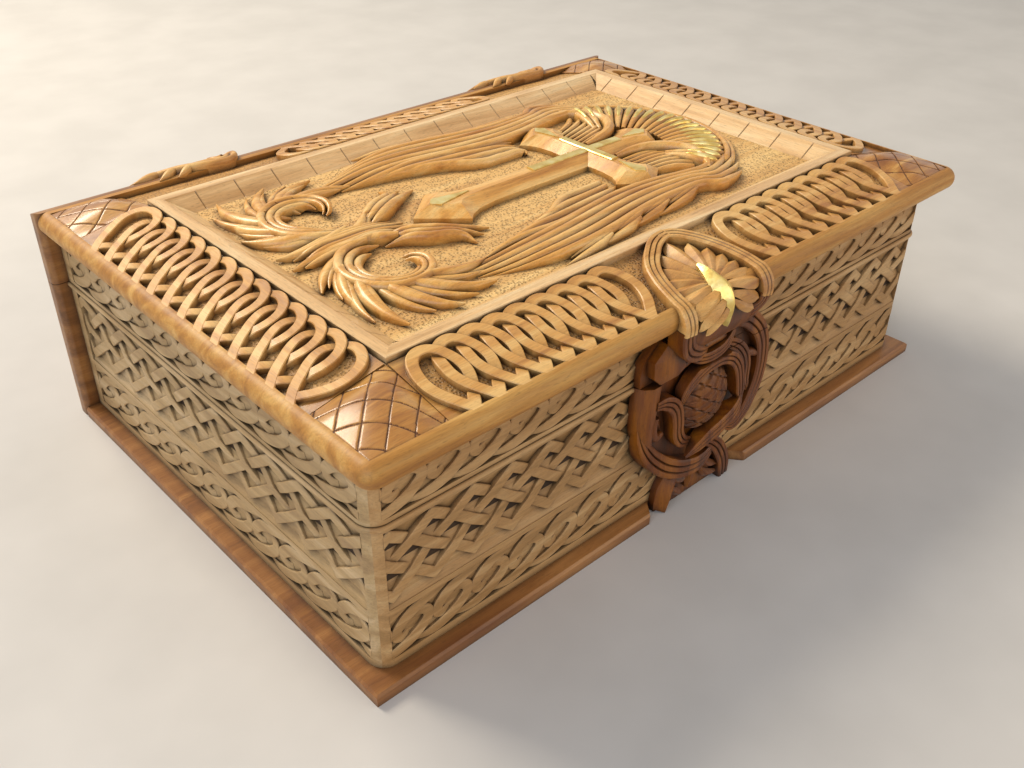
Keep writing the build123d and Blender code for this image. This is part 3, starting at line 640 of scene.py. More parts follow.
def chain(name, place, finish, pitch, peak, body, centre_v, scale_v, low_u, high_u):
    hooks = [sweep(name + "_hook", [line], flat_knife) for line in (
        CHAIN_HOOK, [(-u, -v, w, half) for u, v, w, half in CHAIN_HOOK])]
    run = []
    centre = peak + CHAIN_OFFSET
    u = centre - pitch * int((centre - low_u) / pitch + 1)
    while u < high_u + pitch:
        place_on = shift(u, centre_v) @ stretch(pitch / FRONT_PITCH, scale_v)
        link = [copy_of(hook, place_on) for hook in hooks]
        if not low_u + 1.1 * pitch < u < high_u - 1.1 * pitch:
            parted(link, between(low_u, high_u))
        run += link
        u += pitch
    for hook in hooks:
        discard(hook)
    low, high = centre_v - CHAIN_REACH * scale_v, centre_v + CHAIN_REACH * scale_v
    bed = [(low_u, low), (high_u, low), (high_u, high), (low_u, high)]
    run.append(stack("chain_bed", (bed, BED_LOW), (bed, BED_HIGH)))
    done(joined(name, run), finish, place=place, body=body, slot="pale_wood", angle=35)


# The carving runs between the posts and reaches a little way into them.
front_reach = WALL_X - POST + POST_LAP
end_reach = BACK_Y - POST + POST_LAP

for side, low_u, high_u in (("left", -front_reach, -33.0), ("right", 29.0, front_reach)):
    plait("front_plait_" + side, *FRONT_RUN, low_u, high_u)
for name, band, low_u, high_u in (
    ("front_chain_left", CASE_BAND, -front_reach, -22.0),
    ("front_chain_right", CASE_BAND, 22.0, front_reach),
    ("lid_front_chain_left", LID_BAND, -front_reach, -36.5),
    ("lid_front_chain_right", LID_BAND, 17.0, front_reach),
):
    chain(name, *FRONT_RUN, *band, low_u, high_u)
END_RUNS = (("left", LEFT_RUN), ("right", RIGHT_RUN))
for side, run in END_RUNS:
    plait(side + "_plait", *run, -end_reach, end_reach)
for lead, band in (("", CASE_BAND), ("lid_", LID_BAND)):
    for side, run in END_RUNS:
        chain(lead + side + "_chain", *run, *band, -end_reach, end_reach)

# --- frame round the panel, cut into plain blocks ---
def carved_slab(name, us, vs, height_at, floor):
    # a grid raised to the carved surface, with its edges drawn down to a flat underside
    bpy.ops.mesh.primitive_grid_add(x_subdivisions=len(us) - 1, y_subdivisions=len(vs) - 1,
                                    size=2, location=(0, 0, 0))
    piece = bpy.context.object
    piece.name = name
    for corner in piece.data.vertices:
        i = round((corner.co.x + 1) / 2 * (len(us) - 1))
        j = round((corner.co.y + 1) / 2 * (len(vs) - 1))
        corner.co = height_at(us[i], vs[j])
    bpy.ops.object.mode_set(mode="EDIT")
    bpy.ops.mesh.select_all(action="SELECT")
    bpy.ops.mesh.region_to_loop()
    bpy.ops.mesh.extrude_edges_move()
    bpy.ops.transform.resize(value=(1, 1, 0), orient_type="GLOBAL", center_override=(0, 0, floor))
    bpy.ops.mesh.edge_face_add()
    bpy.ops.mesh.select_all(action="SELECT")
    bpy.ops.mesh.normals_make_consistent(inside=False)
    bpy.ops.object.mode_set(mode="OBJECT")
    return piece


def steps(low, high, count):
    return [low + (high - low) * k / count for k in range(count + 1)]


FRAME_FLAT = 5.5
FRAME_WIDTH = 15.0
FRAME_DROP = 6.0
BLOCK_PITCH = 20.3
BLOCK_GAP = 0.45
BLOCK_CUT = 0.8
JOINT_MARGIN = 4
EDGE_EASE = 0.3
FRAME_FOOT = -13.0


def frame_side(side, x, y, along, half_length, finish, first_joint):
    joints = []
    at = first_joint
    while at < half_length - JOINT_MARGIN:
        if at > -half_length + JOINT_MARGIN:
            joints.append(at)
        at += BLOCK_PITCH
    us = sorted([-half_length, half_length]
                + [joint + off for joint in joints for off in (-BLOCK_GAP, 0, BLOCK_GAP)])
    vs = [0, EDGE_EASE, FRAME_FLAT - 0.5, FRAME_FLAT, FRAME_FLAT + 0.6, FRAME_WIDTH - 0.6,
          FRAME_WIDTH]

    def block_height(u, v):
        down = max(0, v - FRAME_FLAT) / (FRAME_WIDTH - FRAME_FLAT) * FRAME_DROP
        if v == 0:
            down = EDGE_EASE
        if u in joints and v > FRAME_FLAT:
            down = min(down + BLOCK_CUT, FRAME_DROP)
        end = abs(u) == half_length
        return ((half_length - v) * (1 if u > 0 else -1) if end else u, v, -down)

    bar = carved_slab(side + "_frame_blocks", us, vs, block_height, FRAME_FOOT)
    done(bar, finish, side + "_frame_moulding", place=surface((x, y, FRAME_TOP), along, (0, 0, 1)),
         angle=20)


frame_middle = (FRAME_FRONT + FRAME_BACK) / 2
frame_half = (FRAME_BACK - FRAME_FRONT) / 2
for moulding in (
    ("front", 0, FRAME_FRONT, (1, 0, 0), FRAME_X, frame_wood_x, -137.0),
    ("back", 0, FRAME_BACK, (-1, 0, 0), FRAME_X, frame_wood_x, -137.0),
    ("left", -FRAME_X, frame_middle, (0, -1, 0), frame_half, frame_wood_y, -71.0),
    ("right", FRAME_X, frame_middle, (0, 1, 0), frame_half, frame_wood_y, -71.0),
):
    frame_side(*moulding)

# --- corner bosses, smooth and scored with a net ---
NET_PITCH = 8.9
NET_CENTRE = 20.0
NET_RADII = (34.0, 45.0, 55.5, 65.5, 74.5)
NET_WIDTH = 0.36
NET_DEPTH = 0.5
EDGE_DROP = 2.2
EDGE_RUN = 11.0
BOSS_FOOT = 107.2
BOSS_LIFT, BOSS_SWELL, BOSS_LIMIT = 0.35, 1.5, 0.6
# rounding of the valley where the two slopes of a boss meet
BOSS_SOFT = 3.0
BOSS_CUTS = (84, 88)


def scored(distance):
    return NET_DEPTH * max(0.0, 1 - abs(distance) / NET_WIDTH)


def score_at(a, b, wide, deep):
    skew = (a / wide - b / deep) * (wide + deep) / 2 / sqrt(2)
    line = skew / NET_PITCH + 0.5
    cut = scored((line - round(line)) * NET_PITCH)
    for radius in NET_RADII:
        cut = max(cut, scored(hypot(a + NET_CENTRE, b + NET_CENTRE) - radius))
    return cut


def edge_ease(at, length):
    share = max(0.0, (at - length + EDGE_RUN) / EDGE_RUN)
    return share * share * (3 - 2 * share)


def corner_boss(corner, outer_x, outer_y, inner_x, inner_y):
    wide, deep = abs(inner_x - outer_x), abs(inner_y - outer_y)

    def boss_height(a, b):
        slope_a, slope_b = BORDER_RISE * a / wide, BORDER_RISE * b / deep
        gap = slope_a - slope_b
        soft = 0.5 * (slope_a + slope_b - sqrt(gap * gap + BOSS_SOFT))
        swell = BOSS_SWELL * sin(pi * min(a, wide) / wide) * sin(pi * min(b, deep) / deep)
        at_edge = min(a, b, wide - a, deep - b) < 0.01
        cut = 0.25 if at_edge else score_at(a, b, wide, deep)
        rise = min(soft + BOSS_LIFT + swell, BORDER_RISE + BOSS_LIMIT)
        rise -= EDGE_DROP * (1 - (1 - edge_ease(a, wide)) * (1 - edge_ease(b, deep)))
        x = outer_x + a * (1 if inner_x > outer_x else -1)
        y = outer_y + b * (1 if inner_y > outer_y else -1)
        return (x, y, BOARD_TOP + rise - cut)

    def in_score(face):
        a, b = abs(face.center.x - outer_x), abs(face.center.y - outer_y)
        return face.normal.z > 0.2 and score_at(a, b, wide, deep) > 0.3 * NET_DEPTH

    along, across = BOSS_CUTS
    boss = carved_slab(corner + "_net", steps(0, wide, along), steps(0, deep, across), boss_height,
                       BOSS_FOOT)
    lines = [int(in_score(face)) for face in clean(boss).data.polygons]
    done(boss, boss_wood, corner + "_corner_boss", angle=40)
    boss.data.materials.append(scored_line)
    boss.data.polygons.foreach_set("material_index", lines)


for side, outer_x, inner_x in (("left", -RIM_X, -FRAME_X), ("right", RIM_X, FRAME_X)):
    corner_boss("front_" + side, outer_x, RIM_FRONT, inner_x, FRAME_FRONT)
    corner_boss("back_" + side, outer_x, RIM_BACK, inner_x, FRAME_BACK)

# The polish runs on from each boss up to the outer half of the first loop beside it.
APRON_FOOT, APRON_HEIGHT = -0.5, 1.0
APRON_START = 0.1
LOOP_PEAK = 9


def apron(name, place, boss_u, foot, shape, deep):
    half = shape[:LOOP_PEAK + 1] if boss_u < foot else shape[:LOOP_PEAK - 1:-1]
    side = [(foot + u, min(max(v, APRON_START), deep)) for u, v, _, _ in half]
    outline = [(boss_u, APRON_START)] + side + [(side[-1][0], deep), (boss_u, deep)]
    polish = stack(name + "_apron", (outline, APRON_FOOT), (outline, APRON_HEIGHT))
    done(polish, boss_wood, place=place, angle=32)


for run in (
    ("front_left", front_slope, -FRAME_X, -138.0, FRONT_LOOP, FRONT_WIDTH),
    ("front_right", front_slope, FRAME_X, 132.8, FRONT_LOOP, FRONT_WIDTH),
    ("left_front", left_slope, -FRAME_FRONT, 83.3, END_LOOP, END_WIDTH),
    ("left_back", left_slope, -FRAME_BACK, -70.3, END_LOOP, END_WIDTH),
    ("right_front", right_slope, FRAME_FRONT, -74.0, END_LOOP, END_WIDTH),
    ("right_back", right_slope, FRAME_BACK, 79.6, END_LOOP, END_WIDTH),
):
    apron(*run)

# --- scrolls that lap the rounded back edge of the cover ---
# v is 0 where the rounding starts on top of the cover, and runs back and then down the spine.
SPINE_BEND = SPINE_BACK_Y - BACK_Y
ORNAMENT_X = 109.0
VOLUTE = (18.5, 6.0, 9.2)


def over_spine(piece):
    for corner in piece.data.vertices:
        u, v, w = corner.co
        if v < 0:
            y, z = BACK_Y + v, BOARD_TOP + w
        elif v < SPINE_BEND * pi / 2:
            turn = v / SPINE_BEND
            y = BACK_Y + (SPINE_BEND + w) * sin(turn)
            z = BOARD_TOP - SPINE_BEND + (SPINE_BEND + w) * cos(turn)
        else:
            y, z = SPINE_BACK_Y + w, BOARD_TOP - SPINE_BEND - (v - SPINE_BEND * pi / 2)
        corner.co = (u, y, z)
    return clean(piece)


def volute_line(inset, start, stop, height, half):
    centre_u, centre_v, radius = VOLUTE
    line = []
    for k in range(15):
        share = k / 14
        turned = radians(start + share * (stop - start))
        reach = (radius - inset) * (1 - 0.62 * share)
        line.append((centre_u + reach * cos(turned), centre_v + reach * sin(turned),
                     height * (1 - 0.15 * share), half * (1 - 0.45 * share)))
    return line


def spine_scroll_lines():
    lines = [
        [(-29.5, 10.0, 0.6, 0.3), (-20.0, 8.4, 2.7, 1.7), (-9.0, 5.4, 3.3, 2.2),
         (4.0, 0.2, 3.4, 2.1)] + volute_line(0.0, -112, 262, 3.4, 1.9),
        [(-24.0, 14.5, 0.6, 0.3), (-12.0, 11.0, 2.5, 1.7), (-1.0, 6.6, 2.7, 1.8)]
        + volute_line(3.8, -140, 200, 2.7, 1.7),
        volute_line(7.2, 0, 330, 2.9, 1.8),
    ]
    for u, v, tip_u, tip_v in ((-13, 7.5, -29, 3.5), (-6, 4.5, -18, -2.0), (1, 2, -9, -4.0),
                               (-22, 13.9, -29.5, 20), (-16, 12.2, -26, 25), (-9, 9.8, -19, 28),
                               (-2, 7, -12, 29.5), (4, 5.3, -4, 30), (14, 8.6, 4, 30),
                               (18.5, 12.1, 12, 30.5), (22, 11.7, 20, 29.5), (25, 9, 28, 27)):
        lines.append([(u, v, 2.6, 1.4), (u + 0.25 * (tip_u - u), v + 0.25 * (tip_v - v), 3.3, 2.1),
                      (u + 0.6 * (tip_u - u), v + 0.62 * (tip_v - v), 2.6, 1.8),
                      (tip_u, tip_v, 0.6, 0.25)])
    return lines


for side, name in ((-1, "left"), (1, "right")):
    scroll = sweep(name + "_spine_scroll", spine_scroll_lines(), round_knife, steps=3)
    scroll.data.transform(shift(side * ORNAMENT_X))
    done(over_spine(scroll), lid_wood_x, name + "_spine_ornament")

# --- relief on the panel ---
# Each line is drawn for the back half, measured from the middle of the relief, and mirrored.
SPRAY_LANES = 5
SPRAY_PITCH = 4.7
SPRAY_Y = 57.0
SCROLL_X = -99.0
SCROLL_Y = 33.0
GLORY_X = 69.0
GLORY_IN = 27.0
GLORY_OUT = 53.5
GLORY_HALF = 72.0
RAYS = 21
HOOK = [(57, 10.5, 4.4, 1.2), (68, 11.6, 6.0, 2.4), (80, 16, 6.8, 2.9), (88, 24.5, 6.9, 3.0),
        (90.5, 35, 6.6, 2.9), (87, 45, 6.0, 2.6), (79, 53, 5.0, 1.6)]


def mirrored(side, lines):
    return [[(x, RELIEF_Y + side * y, w, half) for x, y, w, half in line] for line in lines]


def round_glory(radius, angle):
    return GLORY_X + radius * cos(angle), radius * sin(angle)


def spray_lines():
    # long blades that leave the scroll, run in one wave beside the cross and close round the glory
    lines = []
    for lane in range(SPRAY_LANES):
        offset = (lane - (SPRAY_LANES - 1) / 2) * SPRAY_PITCH
        line = []
        start = -90.0 + 6 * abs(lane - 1)
        for k in range(9):
            share = k / 8
            x = start + share * (GLORY_X - 6 - start)
            spread = sin(pi * (0.14 + 0.66 * share)) ** 0.6
            y = SPRAY_Y + 4 * sin(2 * pi * (share - 0.04)) + offset * spread
            thick = min(1.0, 3.4 * share)
            line.append((x, y, 0.6 + 5.4 * thick - 0.25 * abs(lane - 2), 0.3 + 2.25 * thick))
        reach = 57.5 + offset * 0.85 + 2.0
        last = 34 + 9 * lane
        for k in range(1, 5):
            angle = radians(96 - k * (96 - last) / 4)
            thin = 1 - (k / 4) ** 2
            line.append((*round_glory(reach, angle), 2.4 + 3.2 * thin, 0.4 + 2.2 * thin))
        lines.append(line)
    for k, tip_y in enumerate((44.0, 38.6, 33.0, 27.0)):
        lines.append([
            (-70 + 9 * k, SPRAY_Y - 7.6 - 1.0 * k, 0.8, 0.3),
            (-46 + 9 * k, SPRAY_Y - 9.4 - 2.6 * k, 5.0, 2.0),
            (-22 + 8 * k, tip_y + 5.2 - 1.0 * k, 5.4 - 0.3 * k, 2.5),
            (4 + 4 * k, tip_y + 1.6, 5.0 - 0.3 * k, 2.6),
            (22 + 2 * k, tip_y - 1.0, 3.9 - 0.2 * k, 1.9),
            (32 - 1.5 * k, tip_y - 3.4, 2.2, 0.3),
        ])
    for tip_x in (-34, -12, 12, 34):
        drift = 4 * sin(2 * pi * ((tip_x + 82) / 138 - 0.04))
        for x, far, low in ((tip_x, SPRAY_Y + 11.5, 5.2), (tip_x - 7, SPRAY_Y + 15.5, 4.2)):
            lines.append([
                (x + 30, far - 5 + drift, low, 0.8), (x + 20, far - 2.4 + drift, low - 0.3, 2.1),
                (x + 8, far - 0.6 + drift, low - 1.2, 1.7), (x - 4, far + 0.6 + drift, 1.4, 0.25),
            ])
    return lines


# outer strand: where it starts and stops winding, in degrees, and its radius at the start
SPIRAL_START, SPIRAL_STOP, SPIRAL_RADIUS = -62.0, -402.0, 27.5


def band_radius(angle):
    # the middle of the outer strand of the scroll, which winds inwards
    share = (SPIRAL_START - angle) / (SPIRAL_START - SPIRAL_STOP)
    return SPIRAL_RADIUS - 19.5 * max(0.0, share) ** 1.3


def on_scroll(radius, angle):
    turned = radians(angle)
    return SCROLL_X + radius * cos(turned), SCROLL_Y + radius * sin(turned)


def spiral(start, stop, inset, height, half, count):
    line = []
    for k in range(count + 1):
        share = k / count
        angle = start + share * (stop - start)
        taper = min(1.0, 0.1 + 6 * share, 0.15 + 5 * (1 - share))
        shrink = 1 - 0.4 * share
        line.append((*on_scroll(band_radius(angle) - inset * shrink, angle),
                     1.0 + (height - 1.0) * taper ** 0.5, half * taper * shrink))
    return line


def lobe(angle, inset, far, sweep_by, height, half):
    # one leaf tip that peels off the outside of the scroll
    near = band_radius(angle) - inset
    return [(*on_scroll(near + (far - near) * share ** 1.6, angle - sweep_by * share),
             height * (1 - 0.62 * share ** 2), half * wide)
            for share, wide in ((0.0, 0.25), (0.25, 0.9), (0.5, 1.0), (0.78, 0.66), (1.0, 0.1))]


def tongue(angle, half):
    # a leaf that curls off the inside of the scroll into its open middle
    return [(*on_scroll(band_radius(angle) * reach, angle - 52 * share), height, half * wide)
            for share, reach, wide, height in ((0.0, 0.94, 0.25, 3.6), (0.3, 0.82, 0.9, 5.0),
                                               (0.65, 0.62, 1.0, 4.2), (1.0, 0.36, 0.12, 1.2))]


def scroll_lines():
    lines = [spiral(-62, -402, 0.0, 6.4, 2.7, 18), spiral(-74, -388, 4.6, 5.8, 2.4, 16),
             spiral(-92, -330, 8.8, 5.0, 2.1, 12)]
    for angle, far, half in ((-52, 38, 2.8), (-84, 43, 3.1), (-118, 36, 3.0), (-150, 35, 2.8),
                             (-180, 46, 3.3), (-214, 41, 3.1), (-246, 42, 3.1), (-276, 38, 2.8)):
        lines.append(lobe(angle, 1.5, far, 58, 6.2, half))
        lines.append(lobe(angle - 10, 1.0, far - 4.6, 44, 5.6, half * 0.8))
        lines.append(lobe(angle + 9, 0.5, far - 2.6, 50, 4.6, half * 0.72))
    for angle, half in ((-128, 2.3), (-176, 2.2), (-222, 2.0)):
        lines.append(tongue(angle, half))
    for k, (rise, *tip) in enumerate(((0.0, -44, 27.5), (3.6, -50, 31.0), (6.8, -58, 36.0))):
        lines.append([
            (-88 - k, 5.0 + rise, 1.0, 0.3), (-78 - k, 8.8 + rise, 5.4, 2.0),
            (-68 - 2 * k, 14.6 + rise, 5.8, 2.4), (-58 - k, 20.6 + rise, 4.6, 1.9),
            (*tip, 1.4, 0.25),
        ])
    for k, spread in enumerate((-1.0, 0.0, 1.0)):
        lines.append([
            (-127 + 2 * k, 3.6 + 0.8 * spread, 1.0, 0.3),
            (-117 + k, 3.6 + 1.4 * spread, 5.0 - k * 0.4, 1.7),
            (-103, 4.0 + 2.0 * spread, 5.6, 2.0), (-88, 3.6 + 1.8 * spread, 5.2, 1.8),
            (-70 - 4 * k, 6.0 + 4.4 * spread, 1.6, 0.3),
        ])
    return lines


for side, name in ((-1, "front"), (1, "back")):
    for part, lines, replaced in (("_spray_blades", spray_lines(), "_leaf_spray"),
                                  ("_scroll_leaves", scroll_lines(), "_scroll")):
        carved = sweep(name + part, mirrored(side, lines), round_knife)
        done(carved, relief_wood, name + replaced, place=panel)


def ray_line(angle, inner, outer, low, high, thin, thick):
    turned = radians(angle)
    return [(*round_glory(inner + (outer - inner) * share, turned), w, half)
            for share, w, half in ((0.0, low, thin), (0.35, high, (thin + thick) / 2),
                                   (0.82, high, thick), (0.95, high - 0.8, thick * 0.75),
                                   (1.0, high - 2.2, thick * 0.3))]


def rim_band(radius, high, half):
    # runs round the glory and thins out behind the ends of the sprays
    line = []
    for turn in range(-66, 67, 6):
        behind = abs(turn) > 60
        line.append((*round_glory(radius, radians(turn)), high * (1 - 0.6 * behind),
                     half * (1 - 0.7 * behind)))
    return line


def glory_rays():
    wood, gilt = [], []
    for k in range(RAYS):
        angle = -GLORY_HALF + (k + 0.5) * (2 * GLORY_HALF / RAYS)
        wood.append(ray_line(angle, GLORY_IN - 1, GLORY_OUT + 2.5, 3.6, 5.6, 1.3, 3.1))
        gilt.append(ray_line(angle, GLORY_IN + 6.0, GLORY_OUT + 1, 4.1, 6.5, 0.5, 1.6))
    wood += [rim_band(GLORY_OUT + 3.6, 4.6, 1.7), rim_band(GLORY_OUT + 6.4, 3.2, 1.5)]
    done(sweep("glory_shell", mirrored(1, wood), round_knife, steps=3), relief_wood, "glory_fan",
         place=panel)
    done(sweep("glory_gilt_rays", mirrored(1, gilt), round_knife, steps=3), gold,
         "glory_gilding", place=panel, slot="gilding")
    hooks = [HOOK]
    for k in range(7):
        share = (k + 0.5) / 7
        hooks.append([
            (58.0, 13 + 22 * share, 2.6, 0.8),
            (58.0 + 12 + 6 * sin(pi * share), 15 + 25 * share, 3.8, 2.0),
            (58.0 + 19 + 9 * sin(pi * share), 17 + 29 * share, 3.2, 1.6),
        ])
    done(sweep("glory_hooks", mirrored(-1, hooks) + mirrored(1, hooks), round_knife), relief_wood,
         place=panel, angle=32)


glory_rays()

# --- cross ---
# A low roof all round with a narrow flat ridge; each arm widens and ends in a faceted point.
CROSS_X = 47.0
CROSS_Y = -2.6
SHAFT_HALF = 9.2
RIDGE_HALF = 2.7
EAVE = 2.6
RIDGE = 6.6
GILT_SUNK, GILT_PROUD, GILT_HALF = 0.5, 0.45, 2.5
CROSS_ARMS = (
    # direction, length to the point, to the wide corners, to the neck, half width at the corners
    ((1, 0), 48.5, 38.5, 22.0, 15.6),
    ((0, 1), 45.5, 34.0, 19.0, 15.6),
    ((-1, 0), 112.5, 92.5, 70.0, 17.4),
    ((0, -1), 45.5, 34.0, 19.0, 15.6),
)


def on_cross(direction, steps_out):
    # (run along an arm, step to its left) to (x, y)
    dx, dy = direction
    return [(CROSS_X + s * dx - t * dy, CROSS_Y + s * dy + t * dx) for s, t in steps_out]


def ridge_end(corner, tip):
    return tip - 0.36 * (tip - corner)


def cross_outlines():
    eaves, ridges = [], []
    for direction, tip, corner, neck, half in CROSS_ARMS:
        run = corner - neck
        flank = [(SHAFT_HALF, SHAFT_HALF), (neck, SHAFT_HALF),
                 (neck + 0.55 * run, SHAFT_HALF + 0.22 * (half - SHAFT_HALF)),
                 (neck + 0.85 * run, SHAFT_HALF + 0.62 * (half - SHAFT_HALF)), (corner, half),
                 ((corner + tip) / 2, half / 2)]
        crest = [(RIDGE_HALF, RIDGE_HALF), (neck, RIDGE_HALF),
                 (neck + 0.55 * run, RIDGE_HALF + 0.9), (neck + 0.8 * run, RIDGE_HALF + 2.6),
                 (corner - 1.5, half * 0.47), (corner + 0.26 * (tip - corner), half * 0.24)]
        ridge_tip = ridge_end(corner, tip) - 1.2
        for line, edge, last in ((eaves, flank, tip), (ridges, crest, ridge_tip)):
            line += on_cross(direction, [(s, -t) for s, t in edge] + [(last, 0)]
                             + [(s, t) for s, t in reversed(edge[1:])])
    return eaves, ridges


def cross_relief():
    eaves, ridges = cross_outlines()
    body = stack("bevelled_cross", (eaves, 0.0), (eaves, EAVE), (ridges, RIDGE))
    done(body, relief_wood, "cross", place=panel, angle=15)
    gilt = []
    for direction, tip, corner, neck, half in CROSS_ARMS:
        inner, outer = corner - 13.0, ridge_end(corner, tip) - 2.4
        plan = on_cross(direction, [(inner, 0.0), (outer - 3.5, -half * 0.22), (outer, 0.0),
                                    (outer - 3.5, half * 0.22)])
        gilt.append(stack("gilt_wedge", (plan, RIDGE - GILT_SUNK), (plan, RIDGE + GILT_PROUD)))
    for ends, top in (((-40.4, 0.0), (22.0, 0.0)), 0.7), (((0.0, -18.4), (0.0, 18.4)), 0.86):
        strip = [(CROSS_X + x, CROSS_Y + y, RIDGE + top, GILT_HALF) for x, y in ends]
        gilt.append(sweep("gilt_strip", [strip], strip_knife, kind="POLY"))
    done(joined("cross_gilt", gilt), gold, "cross_gilding", place=panel, slot="gilding", angle=25)


cross_relief()

# --- clasp: straps, lattice boss and leaves, read on the plane of the front wall ---
# u is X, v is Z and w stands out from the front wall.
clasp_face = surface((0, FRONT_Y, 0), (1, 0, 0), (0, -1, 0))
PLATE_BACK, PLATE_OUT = -0.6, 3.4
STRAP_BACK = -0.7
BOSS_U, BOSS_V = -6.0, 57.0
BOSS_HALF_U, BOSS_HALF_V = 16.5, 16.0

CASE_PLATE = [
    (-44.5, 76.2), (-46, 66), (-45.5, 55), (-42, 44), (-35, 34), (-26, 26), (-17, 22), (-22, 12),
    (-26, 5), (-27.5, 0.3), (21.5, 0.3), (18.5, 10), (13, 19), (20, 24), (30, 31), (37.5, 42),
    (40.5, 54), (40, 66), (36.5, 76.2),
]
LID_PLATE = [
    (36.3, 76.5), (32, 84), (24, 90), (19, 95), (19, 101), (-35, 101), (-38, 95), (-45, 88),
    (-46, 82), (-45.6, 76.5),
]
BROAD_STRAP = [
    (-38.4, 78.5, 7.2, 7.6), (-39.4, 70, 7.6, 7.4), (-40.6, 62, 7.8, 6.4), (-41.0, 54, 7.6, 5.4),
    (-39.4, 46.5, 6.8, 3.8), (-36.5, 40.5, 5.6, 1.4),
]
BOTTOM_STRAP = [
    (-45.0, 59, 4.0, 0.8), (-44.0, 51, 5.8, 2.6), (-40.0, 42, 7.2, 4.0), (-33.4, 33.8, 8.2, 4.7),
    (-24.4, 26.6, 9.0, 4.9), (-13, 21.4, 9.4, 4.7), (-2, 19.8, 9.0, 4.2), (6, 21.5, 7.6, 2.6),
]
HOOK_STRAP = [
    (-38.5, 66.5, 8.2, 2.0), (-33, 66, 9.2, 3.2), (-27, 61.5, 9.6, 3.7), (-24.2, 53.5, 9.6, 3.7),
    (-22.6, 45.5, 9.2, 3.6), (-18.4, 39, 8.6, 3.2), (-12.6, 35.8, 7.6, 2.2),
]
HOOK_CURL = [
    (-37.4, 60, 8.2, 1.6), (-38, 53.5, 8.0, 2.4), (-35, 48, 7.4, 2.4), (-30.6, 47.8, 6.4, 1.4),
]
HOLE_LEAF = [(-34.5, 57.5, 4.6, 0.8), (-32.8, 53, 5.6, 2.0), (-31.4, 49.6, 4.6, 0.8)]
RING_ARC = [
    (-22.5, 60.5, 8.6, 1.6), (-21, 66.5, 9.8, 2.6), (-14.5, 72.6, 10.6, 3.0),
    (-5, 75.2, 10.8, 3.1),
    (6, 73.4, 10.6, 3.1), (14, 66.6, 10.2, 3.1), (18, 57.6, 9.8, 3.1), (20.2, 49.5, 9.4, 3.0),
    (21.8, 43.6, 8.8, 1.4),
]
RING_LIP = [
    (22.5, 46.2, 8.8, 1.2), (17, 42.2, 11.2, 3.3), (8, 38.6, 12.0, 3.9), (-2, 36, 12.0, 3.8),
    (-10, 33, 11.4, 3.0), (-16.6, 29.8, 9.8, 0.7),
]
RIGHT_LOOP = [
    (-15, 91.5, 7.4, 3.4), (-8, 93.4, 8.6, 4.6), (2, 93.6, 9.0, 4.8), (14, 90.2, 8.8, 4.7),
    (26, 82.4, 8.4, 4.6), (33.6, 72.6, 8.0, 4.4), (37.0, 62, 7.6, 4.2), (37.3, 51.4, 7.4, 4.1),
    (34.2, 41, 7.4, 4.0), (27.6, 32.2, 7.6, 3.7), (20.6, 28.2, 7.4, 2.8), (15.0, 30.2, 6.4, 1.2),
]
LOOP_CHORD = [
    (3, 80.2, 6.6, 1.2), (11, 77.2, 8.0, 3.0), (18.4, 71, 8.6, 3.5), (22.6, 62.6, 8.6, 3.5),
    (24.0, 54, 8.2, 3.3), (28.2, 46.8, 6.8, 2.0), (31.0, 43.6, 5.6, 0.8),
]
LOOP_BRIDGE = [(21, 66, 6.6, 1.8), (28, 65.2, 7.2, 2.2), (35, 62, 6.8, 2.0)]
CREST = [
    (-19, 82.4, 8.0, 1.6), (-12, 79.8, 9.4, 2.5), (-4, 79.4, 10.2, 2.7), (3, 81.4, 10.2, 2.5),
    (9.4, 86.2, 8.8, 1.1),
]
CREST_BACK = [(-21, 79, 7.2, 1.6), (-10, 83.6, 8.0, 2.3), (1, 84.8, 8.6, 2.3), (8, 82.4, 7.4, 1.2)]
LEFT_FOOT_LEAF = [
    (-13, 26, 6.2, 2.4), (-17.4, 19, 7.6, 4.2), (-21.2, 11, 8.2, 5.4), (-23.0, 4.4, 8.0, 5.0),
    (-23.6, 0.4, 7.4, 4.4),
]
RIGHT_FOOT_STRAP = [
    (1, 29, 6.6, 2.4), (8, 24.4, 8.0, 3.6), (13.8, 16.6, 8.4, 4.0), (17.4, 8, 8.2, 3.8),
    (18.8, 0.4, 7.6, 3.4),
]
FOOT_CURLS = [
    [(-22, 19, 6.0, 1.0), (-16.5, 14.6, 7.4, 2.4), (-11.6, 13.4, 7.0, 2.0),
     (-10.2, 16.6, 6.0, 0.7)],
    [(-19.6, 11, 6.2, 1.2), (-15.4, 7.2, 7.0, 2.1), (-12.0, 4.4, 6.4, 1.4)],
    [(0.8, 19, 6.4, 1.4), (5.4, 13.2, 7.8, 2.7), (12.4, 10, 7.2, 1.7)],
    [(1.6, 12.4, 6.2, 1.2), (6.4, 6.8, 7.2, 2.4), (13.6, 4.6, 6.6, 1.1)],
    [(-6.6, 16.4, 6.8, 1.4), (-7, 11.2, 7.4, 2.7), (-7.2, 5.6, 6.2, 1.0)],
]
LEG_LOWER = [
    (-33.4, 105.5, 16.9, 3.9), (-32.6, 99.5, 16.4, 4.1), (-28.8, 93.4, 14.6, 4.3),
    (-22.2, 88, 12.2, 4.3), (-14.6, 84.2, 10.2, 3.5), (-8.6, 83.2, 8.4, 1.3),
]
RIGHT_LEG_LOWER = [
    (16.4, 105.5, 16.9, 3.5), (16.8, 100, 15.6, 3.6), (13.6, 95.6, 13.0, 3.4),
    (7.2, 94.4, 10.4, 2.0),
]
SHIELD_LOW = [(-42.6, 89.4), (-42.0, 81.6), (-37.6, 77.2), (-28.6, 77.0), (-22.6, 80.2),
              (-22.8, 88.0), (-28.2, 93.4), (-35.0, 95.6)]
